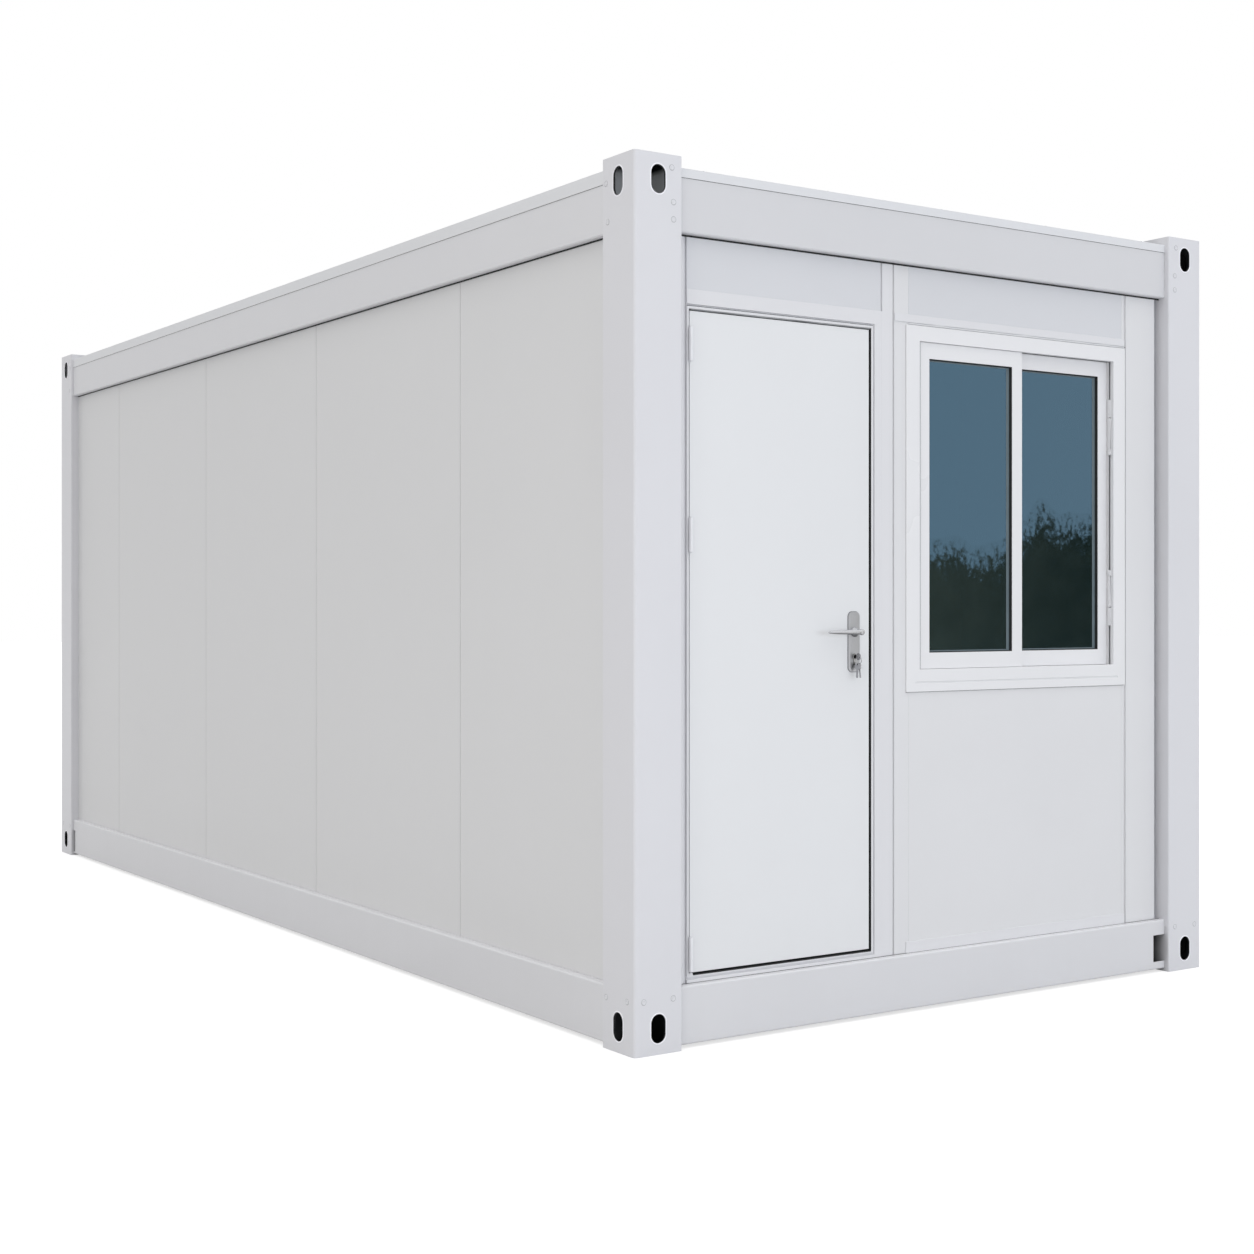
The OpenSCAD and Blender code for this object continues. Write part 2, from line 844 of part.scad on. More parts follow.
module window_frame() {
    color("white")
    difference() {
        union() {
            window_block(0, front_face - flange_proud, front_face);
            window_block(flange_overlap + window_play, front_face - CUT, front_inner);
        }
        block([window_x + sill_groove_inset, front_face - flange_proud - CUT,
               window_bottom + sill_groove_rise],
              [window_right - sill_groove_inset, front_face - flange_proud + sill_groove_depth,
               window_bottom + sill_groove_rise + sill_groove_width]);
        block([sight_x, front_face - flange_proud - CUT, sight_bottom],
              [sight_right, front_inner + CUT, sight_top]);
        // The free track of each jamb: in front of the inner sash, and behind the outer one
        block([sight_right - CUT, outer_track_y, sight_bottom],
              [sight_right + track_depth, outer_track_y + track_width, sight_top]);
        block([sight_x - track_depth, inner_track_y, sight_bottom],
              [sight_x + CUT, inner_track_y + track_width, sight_top]);
    }
}

// Sash with its lower left front corner at the origin, grooved for its pane
module sash() {
    difference() {
        cube([sash_width, sash_thickness, sash_height]);
        translate([sash_stile, -CUT, sash_rail])
            cube([sash_width - 2 * sash_stile, sash_thickness + 2 * CUT,
                  sash_height - 2 * sash_rail]);
        translate([sash_stile - pane_edge, pane_setback, sash_rail - pane_edge])
            cube([sash_width - 2 * (sash_stile - pane_edge), pane_thickness,
                  sash_height - 2 * (sash_rail - pane_edge)]);
    }
}

module pane() {
    translate([sash_stile - pane_edge, pane_setback, sash_rail - pane_edge])
        cube([sash_width - 2 * (sash_stile - pane_edge), pane_thickness,
              sash_height - 2 * (sash_rail - pane_edge)]);
}

// Places a piece of a sash in the outer track on the left, or the inner one on the right
module at_sashes() {
    translate([sight_x + sash_play, outer_sash_face, sight_bottom + sash_play]) children();
    translate([sight_right - sash_play - sash_width, inner_sash_face, sight_bottom + sash_play])
        children();
}

module window_sashes() {
    color("white") at_sashes() sash();
}

module window_panes() {
    color("steelblue", 0.5) at_sashes() pane();
}

// Two catches on the right-hand side of the window frame, in front of the inner sash
module window_catches() {
    color("silver")
    for (z = [sight_bottom + low_catch_rise, sight_top - high_catch_drop])
        translate([sight_right - catch_thickness,
                   outer_sash_face + (sash_thickness - catch_width) / 2,
                   z - catch_length / 2])
            cube([catch_thickness, catch_width, catch_length]);
}

// ---- door ----

// Knuckle ring stack of one hinge between two heights above its foot
module knuckle(z_low, z_high, bore) {
    difference() {
        translate([0, 0, z_low]) cylinder(d = knuckle_d, h = z_high - z_low);
        translate([0, 0, z_low - CUT]) cylinder(d = bore, h = z_high - z_low + 2 * CUT);
    }
}

// Plate from the knuckle into the gap, on one side of the hinge line
module hinge_wing(side, z_low, z_high) {
    far = hinge_gap / 2;
    near = far - hinge_plate;
    block([side > 0 ? near : -far, hinge_pin_d / 2 + pin_clearance + CUT / 2, z_low],
          [side > 0 ? far : -near, knuckle_d / 2 + hinge_plate_width, z_high]);
}

module at_hinges() {
    for (z = hinge_z)
        translate([hinge_x, hinge_y, z - hinge_length / 2]) children();
}

module hinge_frame_sides() {
    third = hinge_length / 3;
    color("silver")
    at_hinges() {
        cylinder(d = hinge_pin_d, h = hinge_length);
        for (z = [0, 2 * third]) {
            translate([0, 0, z]) cylinder(d = knuckle_d, h = third);
            hinge_wing(-1, z, z + third);
        }
    }
}

module hinge_leaf_sides() {
    third = hinge_length / 3;
    low = third + knuckle_play;
    high = 2 * third - knuckle_play;
    color("silver")
    at_hinges() {
        knuckle(low, high, hinge_pin_d + 2 * pin_clearance);
        hinge_wing(1, low, high);
    }
}

// Hole along Y through the leaf or a plate
module cross_bore(x, z, d) {
    translate([x, leaf_face - plate_thickness - CUT, z])
        rotate([-90, 0, 0])
            cylinder(d = d, h = door_thickness + 2 * plate_thickness + 2 * CUT);
}

// Euro-profile outline of the lock, swept along Y between two depths
module lock_shape(grow, y_low, y_high) {
    translate([spindle_x, y_low, lock_z])
        rotate([-90, 0, 0])
            linear_extrude(y_high - y_low) {
                circle(d = lock_d + 2 * grow);
                translate([-lock_web / 2 - grow, 0])
                    square([lock_web + 2 * grow, lock_height - lock_d / 2 + grow]);
            }
}

module door_leaf() {
    color("white")
    difference() {
        block([leaf_x, leaf_face, leaf_bottom], [leaf_right, leaf_back, leaf_top]);
        cross_bore(spindle_x, spindle_z, spindle_bore);
        lock_shape(boss_clearance, leaf_face - CUT, leaf_back + CUT);
    }
}

// Plate with round corners, on either face of the leaf
module handle_plate() {
    r = plate_corner_r;
    half = plate_width / 2;
    rotate([90, 0, 0])
        linear_extrude(plate_thickness) {
            for (x = [r - half, half - r], z = [r, plate_height - r])
                translate([x, z]) circle(r);
            translate([-half, r]) square([plate_width, plate_height - 2 * r]);
            translate([r - half, 0]) square([plate_width - 2 * r, plate_height]);
        }
}

module handle_plates() {
    color("silver")
    difference() {
        for (y = [leaf_face, leaf_back + plate_thickness])
            translate([spindle_x, y, plate_z]) handle_plate();
        cross_bore(spindle_x, spindle_z, boss_d + 2 * boss_clearance);
        lock_shape(boss_clearance, leaf_face - plate_thickness - CUT,
                   leaf_back + plate_thickness + CUT);
    }
}

// Boss and grip on one side of the leaf, drawn outwards along -Y from y = 0
module lever() {
    r = grip_height / 2;
    rotate([90, 0, 0]) cylinder(d = boss_d, h = lever_projection);
    translate([0, -grip_gap, 0])
        rotate([90, 0, 0])
            linear_extrude(grip_thickness) {
                translate([r - lever_length, 0]) circle(r);
                translate([r - lever_length, -r]) square([lever_length - r, grip_height]);
            }
}

module lever_handle() {
    color("silver") {
        translate([spindle_x, leaf_face, spindle_z]) lever();
        translate([spindle_x, leaf_back, spindle_z]) mirror([0, 1, 0]) lever();
        translate([spindle_x, leaf_face - CUT, spindle_z])
            rotate([-90, 0, 0])
                cylinder(d = spindle_d, h = door_thickness + 2 * CUT);
    }
}

module lock_cylinder() {
    reach = plate_thickness + lock_proud;
    color("silver")
    lock_shape(0, leaf_face - reach, leaf_back + reach);
}

// One key stuck in the lock and two more hanging edge-on from the ring on its bow
module keys() {
    lock_front = leaf_face - plate_thickness - lock_proud;
    ring_z = lock_z - ring_d / 2;
    hung_z = ring_z - ring_d / 2 - bow_d / 2 + ring_wire;
    color("silver")
    translate([spindle_x, 0, 0]) {
        block([-key_thickness / 2, key_y, lock_z - blade_width / 2],
              [key_thickness / 2, lock_front, lock_z + blade_width / 2]);
        translate([-key_thickness / 2, key_y - bow_d / 2 + CUT, lock_z])
            rotate([0, 90, 0]) cylinder(d = bow_d, h = key_thickness);
        translate([0, key_y - bow_d / 2 + CUT, ring_z]) {
            rotate([90, 0, 0])
                rotate_extrude()
                    translate([(ring_d - ring_wire) / 2, 0]) circle(d = ring_wire);
            for (x = [-1, 1] * hung_key_spacing / 2)
                translate([x - key_thickness / 2, 0, hung_z - ring_z]) {
                    rotate([0, 90, 0]) cylinder(d = bow_d, h = key_thickness);
                    translate([0, -blade_width / 2, -bow_d / 2 - blade_length])
                        cube([key_thickness, blade_width, blade_length + bow_d / 2]);
                }
        }
    }
}

corner_post(-1, -1);  // post_front_left
corner_post(1, -1);  // post_front_right
corner_post(-1, 1);  // post_rear_left
corner_post(1, 1);  // post_rear_right
base_fitting(-1, -1);  // base_fitting_front_left
base_fitting(1, -1);  // base_fitting_front_right
base_fitting(-1, 1);  // base_fitting_rear_left
base_fitting(1, 1);  // base_fitting_rear_right
roof_fitting(-1, -1);  // roof_fitting_front_left
roof_fitting(1, -1);  // roof_fitting_front_right
roof_fitting(-1, 1);  // roof_fitting_rear_left
roof_fitting(1, 1);  // roof_fitting_rear_right
end_floor_beam();  // floor_beam_front
rotate([0, 0, 180]) end_floor_beam();  // floor_beam_rear
long_floor_beam();  // floor_beam_left
rotate([0, 0, 180]) long_floor_beam();  // floor_beam_right
end_roof_beam();  // roof_beam_front
rotate([0, 0, 180]) end_roof_beam();  // roof_beam_rear
long_roof_beam();  // roof_beam_left
rotate([0, 0, 180]) long_roof_beam();  // roof_beam_right
floor_joists();
floor_deck();
roof_joists();
roof_sheet();
roof_flashings();
ceiling();
left_wall();
right_wall();
rear_wall();
front_edge_trim();
door_header_panel();
front_mullion();
window_stile_panel();
window_header_panel();
window_lower_panel();
front_side_panel();
front_rails();
door_frame();
window_frame();
window_sashes();
window_panes();
window_catches();
hinge_frame_sides();
hinge_leaf_sides();
door_leaf();
handle_plates();
lever_handle();
lock_cylinder();
keys();
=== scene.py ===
import json
import math
import random

import bmesh
import bpy
from bpy.props import FloatProperty, FloatVectorProperty, IntProperty, PointerProperty
from mathutils import Matrix, Vector


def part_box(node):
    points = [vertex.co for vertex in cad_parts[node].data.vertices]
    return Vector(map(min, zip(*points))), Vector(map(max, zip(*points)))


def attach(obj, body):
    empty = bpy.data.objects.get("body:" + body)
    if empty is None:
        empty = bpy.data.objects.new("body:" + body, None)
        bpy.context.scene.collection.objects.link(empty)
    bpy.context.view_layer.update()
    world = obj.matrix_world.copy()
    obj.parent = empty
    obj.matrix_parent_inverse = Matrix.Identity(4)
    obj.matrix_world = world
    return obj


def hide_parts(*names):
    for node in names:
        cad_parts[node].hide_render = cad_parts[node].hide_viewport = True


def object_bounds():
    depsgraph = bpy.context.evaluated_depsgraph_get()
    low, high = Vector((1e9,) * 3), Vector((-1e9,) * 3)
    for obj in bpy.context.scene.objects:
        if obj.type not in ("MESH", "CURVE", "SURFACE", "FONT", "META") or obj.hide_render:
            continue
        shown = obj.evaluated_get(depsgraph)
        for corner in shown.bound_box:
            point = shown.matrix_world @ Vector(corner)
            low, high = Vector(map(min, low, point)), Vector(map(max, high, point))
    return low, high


bl_info = {
    "name": "Container cabin dressing",
    "version": (1, 0, 0),
    "blender": (4, 5, 0),
    "location": "3D View > Sidebar > Cabin",
    "description": "Gives a knock-down container cabin its paint, glass, seals and fittings",
    "category": "Object",
}

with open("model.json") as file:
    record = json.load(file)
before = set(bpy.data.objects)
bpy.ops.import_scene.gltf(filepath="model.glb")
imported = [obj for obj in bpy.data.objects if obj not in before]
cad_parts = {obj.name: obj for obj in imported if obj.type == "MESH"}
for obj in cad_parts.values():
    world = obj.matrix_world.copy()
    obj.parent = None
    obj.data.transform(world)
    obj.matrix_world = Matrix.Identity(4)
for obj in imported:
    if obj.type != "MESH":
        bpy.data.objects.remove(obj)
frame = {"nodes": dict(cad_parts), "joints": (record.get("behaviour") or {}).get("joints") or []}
CAD_LOW, CAD_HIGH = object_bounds()
SIDES = ("front", "rear", "left", "right")
CORNERS = ("front_left", "front_right", "rear_left", "rear_right")
X, Y, Z = range(3)
# How deep a strip or a seal sinks into what it lies on, so that no gap shows
SINK = 0.0002
# Sockets of a Mix node for colours, whose names it also gives to those for numbers
FACTOR, FIRST, SECOND, MIXED = 0, 6, 7, 2


# ---------------------------------------------------------------- settings

def linear(hex_code):
    """Turns an sRGB hex colour into linear red, green, blue and alpha."""
    channels = [int(hex_code[i:i + 2], 16) / 255 for i in (1, 3, 5)]
    return tuple(c / 12.92 if c <= 0.04045 else ((c + 0.055) / 1.055) ** 2.4
                 for c in channels) + (1.0,)


def colour_setting(name, description, hex_code):
    return FloatVectorProperty(name=name, description=description, subtype="COLOR", size=3,
                               min=0.0, max=1.0, default=linear(hex_code)[:3])


def length_setting(name, description, millimetres, low, high):
    return FloatProperty(name=name, description=description, subtype="DISTANCE", unit="LENGTH",
                         default=millimetres / 1000, min=low / 1000, max=high / 1000, precision=4)


class CabinColours(bpy.types.PropertyGroup):
    frame_enamel: colour_setting(
        "Frame enamel", "Enamel on the posts and fittings", "#D9D9DD")
    beam_enamel: colour_setting(
        "Beam enamel", "Enamel on the beams", "#D8D8DB")
    flashing: colour_setting(
        "Flashing", "Enamel on the roof's edge flashings", "#DCDDE0")
    wall_sheet: colour_setting(
        "Wall sheet", "Coil coating on the wall panels", "#D8D8D9")
    front_sheet: colour_setting(
        "Front panels", "Coil coating on the lower panels of the front wall", "#DCDCDE")
    header_sheet: colour_setting(
        "Header panels", "Coil coating on the panels over door and window", "#D3D4D8")
    trim_powder: colour_setting(
        "Trims and door frame", "Powder coating on the trims, rails and door frame", "#DCDCDF")
    door_powder: colour_setting(
        "Door leaf", "Powder coating on the door leaf", "#E1E2E4")
    window_powder: colour_setting(
        "Window profiles", "Powder coating on the window frame and sashes", "#E5E5E7")
    glass_coat: colour_setting(
        "Glass coating", "Tint of the light thrown back by the coated glass", "#96C8EA")
    glass_body: colour_setting(
        "Glass body", "Tint of the light that passes through the glass", "#434B4C")
    seal_rubber: colour_setting(
        "Seals", "Rubber of the door seals and glazing gaskets", "#101113")
    bead: colour_setting(
        "Sealant", "Silicone sealant over the window", "#DDDEE0")
    # Painted shade: a near-black colour for the insides of the hollow fittings, where shade falls
    painted_inside_shade: colour_setting(
        "Inside, base", "Painted shade inside the fittings", "#1B1D20")
    hollow_roof: colour_setting(
        "Inside, roof", "Primer inside the fittings at the roof", "#C6C8CA")
    satin_nickel: colour_setting(
        "Handle", "Satin nickel of the lever and its plates", "#AEAFB2")
    roof_zinc: colour_setting(
        "Roof sheet", "Aluminium-zinc coating of the roof sheet", "#B9BCBF")
    floor_vinyl: colour_setting(
        "Floor covering", "Vinyl covering of the floor boards", "#77797A")


class CabinSizes(bpy.types.PropertyGroup):
    frame_edge: length_setting("Frame edge", "Rounding of the frame's cut edges", 1.6, 0.3, 3)
    panel_edge: length_setting("Panel edge", "Rounding of the folded panel edges", 1.2, 0.3, 2)
    door_edge: length_setting("Door edge", "Rounding of the door leaf's folded edges", 2.0, 0.3, 3)
    profile_edge: length_setting("Profile edge", "Rounding of the window profiles", 0.9, 0.2, 2)
    spot_head: length_setting("Plug weld", "Diameter of the dressed plug welds at the corners",
                              15, 6, 20)
    hole_width: length_setting("Fitting hole width", "Width of the fittings' side holes",
                               51, 45, 55)
    hole_height: length_setting("Fitting hole height", "Height of the fittings' side holes",
                                84, 75, 90)
    hole_aside: length_setting("Fitting hole place", "Middle of a hole from the house's corner",
                               84, 80, 90)
    hole_level: length_setting("Fitting hole level", "Middle of a hole from the fitting's end",
                               75, 70, 80)
    hole_rim: length_setting("Hole rim", "Width of the enamel bead round a fitting's hole",
                             4, 1, 6)
    top_seal: length_setting("Top seal", "Height of the seal strip under the roof beams", 5, 2, 8)
    lock_gap: length_setting("Lock side gap", "Gap between leaf and frame at the lock", 7.5, 5, 9)
    foot_gap: length_setting("Foot gap", "Gap between leaf and sill", 6, 5, 8)
    side_seal: length_setting("Side seal", "Thickness of the seal on the lock jamb", 1.8, 1, 2.5)
    foot_seal: length_setting("Foot seal", "Thickness of the seal on the sill", 0.9, 0.5, 1)
    hinge_pin: length_setting("Hinge pin head", "Diameter of the domed hinge pin heads", 8, 4, 10)
    hinge_length: length_setting("Hinge length", "Length of a hinge", 100, 80, 120)
    pane_edge: length_setting("Glazing groove", "Depth of the groove that holds a pane", 10, 6, 14)
    gasket_lip: length_setting("Gasket lip", "Width of the gasket seen on the glass", 3.2, 1, 5)
    gasket_depth: length_setting("Gasket depth", "How far the gasket stands out from the glass",
                                 10.5, 2, 11)
    tape_width: length_setting("Glazing tape", "Width of the grey tape beside the gasket",
                               13, 4, 20)
    pile_width: length_setting("Pile strip", "Width of the dark pile strips at the inner sash",
                               3, 2, 8)
    bead_gap: length_setting("Sealant gap", "Height of the sealant bead over the window", 8, 4, 12)
    plate_corner: length_setting("Plate corners", "Corner radius of the handle plates", 15, 6, 22)
    catch_length: length_setting("Catch length", "Length of a window catch", 190, 120, 200)
    lever_grip: length_setting("Lever grip", "Height of the lever's grip", 16, 12, 20)
    lever_boss: length_setting("Lever boss", "Diameter of the lever's boss", 20, 16, 24)
    lock_round: length_setting("Lock barrel", "Diameter of the lock's round part", 17, 16, 18)
    lock_web: length_setting("Lock web", "Width of the lock's lower part", 10, 9, 11)
    key_bow: length_setting("Key bow", "Diameter of a key's bow", 22, 18, 24)
    key_sheet: length_setting("Key thickness", "Thickness of a key", 2.5, 2, 3)
    key_ring: length_setting("Key ring", "Outer diameter of the key ring", 26, 24, 30)
    roof_screw: length_setting("Roof screw", "Width across the heads of the roof screws", 8, 6, 12)
    screw_pitch: length_setting("Roof screw pitch", "Spacing of the roof screws", 420, 200, 800)


class CabinStage(bpy.types.PropertyGroup):
    camera_side: length_setting(
        "Camera to the side", "Camera's distance from the left wall", 2964, 500, 20000)
    camera_front: length_setting(
        "Camera in front", "Camera's distance from the front wall", 4404, 500, 20000)
    camera_height: length_setting(
        "Camera height", "Height of the lens above the floor", 1289, 100, 10000)
    camera_turn: FloatProperty(
        name="Camera turn", description="Turn of the view from straight at the front wall",
        default=math.radians(33.72), min=-math.pi, max=math.pi, subtype="ANGLE", unit="ROTATION")
    lens: FloatProperty(
        name="Lens", description="Focal length on a 36 mm sensor", default=53.54, min=20, max=200,
        subtype="DISTANCE_CAMERA", unit="CAMERA")
    rise: FloatProperty(
        name="Lens rise", description="Upward shift of the view, in widths of the view",
        default=-0.0168, min=-0.3, max=0.3)
    horizon: FloatProperty(
        name="Light from aside", description="Strength of the studio light at eye level",
        default=0.40, min=0, max=3)
    zenith: FloatProperty(
        name="Light from above", description="Strength of the studio light straight above",
        default=2.10, min=0, max=4)
    front_power: FloatProperty(
        name="Front lamp", description="Power of the large soft lamp before the front wall",
        default=500, min=0, max=5000, subtype="POWER", unit="POWER")
    corner_power: FloatProperty(
        name="Corner lamp", description="Power of the soft lamp before the near left corner",
        default=42, min=0, max=1000, subtype="POWER", unit="POWER")
    screen_height: length_setting(
        "Leafy screen", "Height of the leafy screen that the window glass shows", 1820, 0, 6000)
    seed: IntProperty(
        name="Seed", description="Seed of the small irregularities", default=11, min=0)


# ---------------------------------------------------------------- materials

def add_node(tree, kind, settings=(), links=()):
    """Adds one shader node, with its properties or socket values and what feeds its sockets."""
    node = tree.nodes.new(kind)
    for name, value in dict(settings).items():
        if isinstance(name, str) and hasattr(node, name):
            setattr(node, name, value)
        else:
            node.inputs[name].default_value = value
    for name, source in dict(links).items():
        tree.links.new(source, node.inputs[name])
    return node


def empty_tree(owner):
    """Gives a new material or world a node tree with nothing in it."""
    owner.use_nodes = True
    owner.node_tree.nodes.clear()
    return owner.node_tree


def new_finish(name, settings):
    """Makes a material with one surface shader, and returns it with its tree, shader and place."""
    material = bpy.data.materials.new(name)
    tree = empty_tree(material)
    shader = add_node(tree, "ShaderNodeBsdfPrincipled", settings)
    add_node(tree, "ShaderNodeOutputMaterial", links={"Surface": shader.outputs[0]})
    place = add_node(tree, "ShaderNodeTexCoord").outputs["Object"]
    return material, tree, shader, place


def rgba(colour, share=1.0):
    """The colour with its alpha, made paler or darker by the share."""
    return tuple(min(1.0, channel * share) for channel in colour[:3]) + (1.0,)


def paint_film(name, colour, roughness, peel_size, peel_depth, drift, dust, primer_and_shade=None):
    """A paint film: the texture of its surface, slow drifts of tone, rain runs and foot dust.
    primer_and_shade holds the two colours that show inside the hollow fittings: the painted shade,
    and the primer of those at the roof."""
    material, tree, shader, place = new_finish(name, {"Metallic": 0.0, "IOR": 1.5})
    # Clouds of 600 mm, and rain runs 60 mm wide and 1.1 m long
    clouds = add_node(tree, "ShaderNodeTexNoise",
                      {"Scale": 1.7, "Detail": 4.0, "Roughness": 0.55}, {"Vector": place})
    tall = add_node(tree, "ShaderNodeMapping", {"Scale": (16.0, 16.0, 0.9)}, {"Vector": place})
    runs = add_node(tree, "ShaderNodeTexNoise", {"Scale": 1.0, "Detail": 3.0},
                    {"Vector": tall.outputs[0]})
    # The tone drifts with the clouds, as between two coats
    drifted = add_node(tree, "ShaderNodeMapRange", {"From Min": 0.33, "From Max": 0.67},
                       {"Value": clouds.outputs["Fac"]})
    tone = add_node(tree, "ShaderNodeMix",
                    {"data_type": "RGBA", FIRST: rgba(colour, 1 - drift),
                     SECOND: rgba(colour, 1 + drift)},
                    {FACTOR: drifted.outputs[0]})
    # Dust splashed up over the lowest 400 mm, broken by the rain runs
    level = add_node(tree, "ShaderNodeSeparateXYZ", links={0: place})
    low = add_node(tree, "ShaderNodeMapRange",
                   {"From Min": 0.0, "From Max": 0.4, "To Min": dust, "To Max": 0.0},
                   {"Value": level.outputs["Z"]})
    streaked = add_node(tree, "ShaderNodeMapRange",
                        {"From Min": 0.35, "From Max": 0.7, "To Min": 0.35, "To Max": 1.0},
                        {"Value": runs.outputs["Fac"]})
    amount = add_node(tree, "ShaderNodeMath", {"operation": "MULTIPLY"},
                      {0: low.outputs[0], 1: streaked.outputs[0]})
    dusty = add_node(tree, "ShaderNodeMix", {"data_type": "RGBA", SECOND: linear("#A9A59A")},
                     {FACTOR: amount.outputs[0], FIRST: tone.outputs[MIXED]})
    surface = dusty.outputs[MIXED]
    if primer_and_shade:
        surface = inside_primer_and_shade(tree, place, surface, primer_and_shade)
    tree.links.new(surface, shader.inputs["Base Color"])
    gloss = add_node(tree, "ShaderNodeMapRange",
                     {"From Min": 0.3, "From Max": 0.7, "To Min": roughness - 0.04,
                      "To Max": roughness + 0.05}, {"Value": clouds.outputs["Fac"]})
    tree.links.new(gloss.outputs[0], shader.inputs["Roughness"])
    peel = add_node(tree, "ShaderNodeTexNoise", {"Scale": 1 / peel_size, "Detail": 1.5},
                    {"Vector": place})
    # Oil canning of thin sheet between its folds, about 450 mm from crest to crest
    swell = add_node(tree, "ShaderNodeTexNoise", {"Scale": 2.2, "Detail": 1.0}, {"Vector": place})
    waved = add_node(tree, "ShaderNodeBump", {"Strength": 1.0, "Distance": 0.0008},
                     {"Height": swell.outputs["Fac"]})
    grained = add_node(tree, "ShaderNodeBump", {"Strength": 1.0, "Distance": peel_depth},
                       {"Height": peel.outputs["Fac"], "Normal": waved.outputs[0]})
    tree.links.new(grained.outputs[0], shader.inputs["Normal"])
    return material


def inside_primer_and_shade(tree, place, surface, colours):
    """What shows inside the hollow fittings instead of the paint: painted shade, near black, in
    those at the base, in the right-hand ones at the roof, on every cut edge and up to 25 mm under
    the top plates, and primer in the rest of the left-hand ones at the roof. Painted shade also
    darkens their sides behind the beams."""
    level = add_node(tree, "ShaderNodeSeparateXYZ", links={0: place})
    left_hand = add_node(tree, "ShaderNodeMath", {"operation": "LESS_THAN", 1: 0.0},
                         {0: level.outputs["X"]})
    # Painted shade under the top plates: the primer fades to near black from 34 to 18 mm below the
    # roof
    clear_of_plate_shade = add_node(tree, "ShaderNodeMapRange",
                      {"From Min": CAD_HIGH.z - 0.034, "From Max": CAD_HIGH.z - 0.018,
                       "To Min": 1.0, "To Max": 0.0}, {"Value": level.outputs["Z"]})
    at_roof = add_node(tree, "ShaderNodeMath", {"operation": "GREATER_THAN", 1: 1.2},
                       {0: level.outputs["Z"]})
    # 1 where the primer shows; everywhere else inside takes the painted shade
    sprayed = at_roof.outputs[0]
    for mask in (clear_of_plate_shade.outputs[0], left_hand.outputs[0], behind_the_cut(tree, place)):
        sprayed = add_node(tree, "ShaderNodeMath", {"operation": "MULTIPLY"},
                           {0: sprayed, 1: mask}).outputs[0]
    within = add_node(tree, "ShaderNodeMix",
                      {"data_type": "RGBA", FIRST: rgba(colours[0]), SECOND: rgba(colours[1])},
                      {FACTOR: sprayed})
    inside_shade_mix = add_node(tree, "ShaderNodeMix", {"data_type": "RGBA"},
                    {FACTOR: inside_of_fittings(tree, place), FIRST: surface,
                     SECOND: within.outputs[MIXED]})
    # Painted shade, near black, on the fittings' sides behind the beams
    shaded_behind_beams = add_node(tree, "ShaderNodeMix", {"data_type": "RGBA", SECOND: linear("#1E2022")},
                       {FACTOR: shade_behind_beams(tree, place), FIRST: inside_shade_mix.outputs[MIXED]})
    return shaded_behind_beams.outputs[MIXED]


def from_middle(tree, place):
    """How far a point lies from the house's middle line, across and along."""
    folded = add_node(tree, "ShaderNodeVectorMath", {"operation": "ABSOLUTE"}, {0: place})
    far = add_node(tree, "ShaderNodeSeparateXYZ", links={0: folded.outputs[0]})
    return far.outputs["X"], far.outputs["Y"]


def behind_the_cut(tree, place):
    """A mask, 1 where the surface lies deeper than the fittings' plates are thick, so that the
    cut edges of the holes are left out of the primer and take the painted shade."""
    plate = 0.0077
    deep = [add_node(tree, "ShaderNodeMath", {"operation": "LESS_THAN", 1: outer - plate},
                     {0: far}).outputs[0]
            for far, outer in zip(from_middle(tree, place), CAD_HIGH)]
    return add_node(tree, "ShaderNodeMath", {"operation": "MULTIPLY"},
                    {0: deep[0], 1: deep[1]}).outputs[0]


def shade_behind_beams(tree, place):
    """A mask of painted shade on the sides of the base fittings that the beams run up to: 0 at
    the beams' faces and 0.9 from 65 mm behind them."""
    low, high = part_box("base_fitting_front_left")
    across, along = from_middle(tree, place)
    parts = []
    for socket, side, depth, outer in (
            (across, CAD_HIGH.x - (high.x - low.x), along, CAD_HIGH.y),
            (along, CAD_HIGH.y - (high.y - low.y), across, CAD_HIGH.x)):
        on_side = add_node(tree, "ShaderNodeMath",
                           {"operation": "COMPARE", 1: side, 2: 0.002}, {0: socket})
        deeper = add_node(tree, "ShaderNodeMapRange",
                          {"From Min": outer - 0.006, "From Max": outer - 0.065,
                           "To Min": 0.0, "To Max": 0.9}, {"Value": depth})
        parts.append(add_node(tree, "ShaderNodeMath", {"operation": "MULTIPLY"},
                              {0: on_side.outputs[0], 1: deeper.outputs[0]}).outputs[0])
    either = add_node(tree, "ShaderNodeMath", {"operation": "MAXIMUM"},
                      {0: parts[0], 1: parts[1]})
    level = add_node(tree, "ShaderNodeSeparateXYZ", links={0: place})
    at_base = add_node(tree, "ShaderNodeMath", {"operation": "LESS_THAN", 1: high.z - 0.002},
                       {0: level.outputs["Z"]})
    return add_node(tree, "ShaderNodeMath", {"operation": "MULTIPLY"},
                    {0: either.outputs[0], 1: at_base.outputs[0]}).outputs[0]


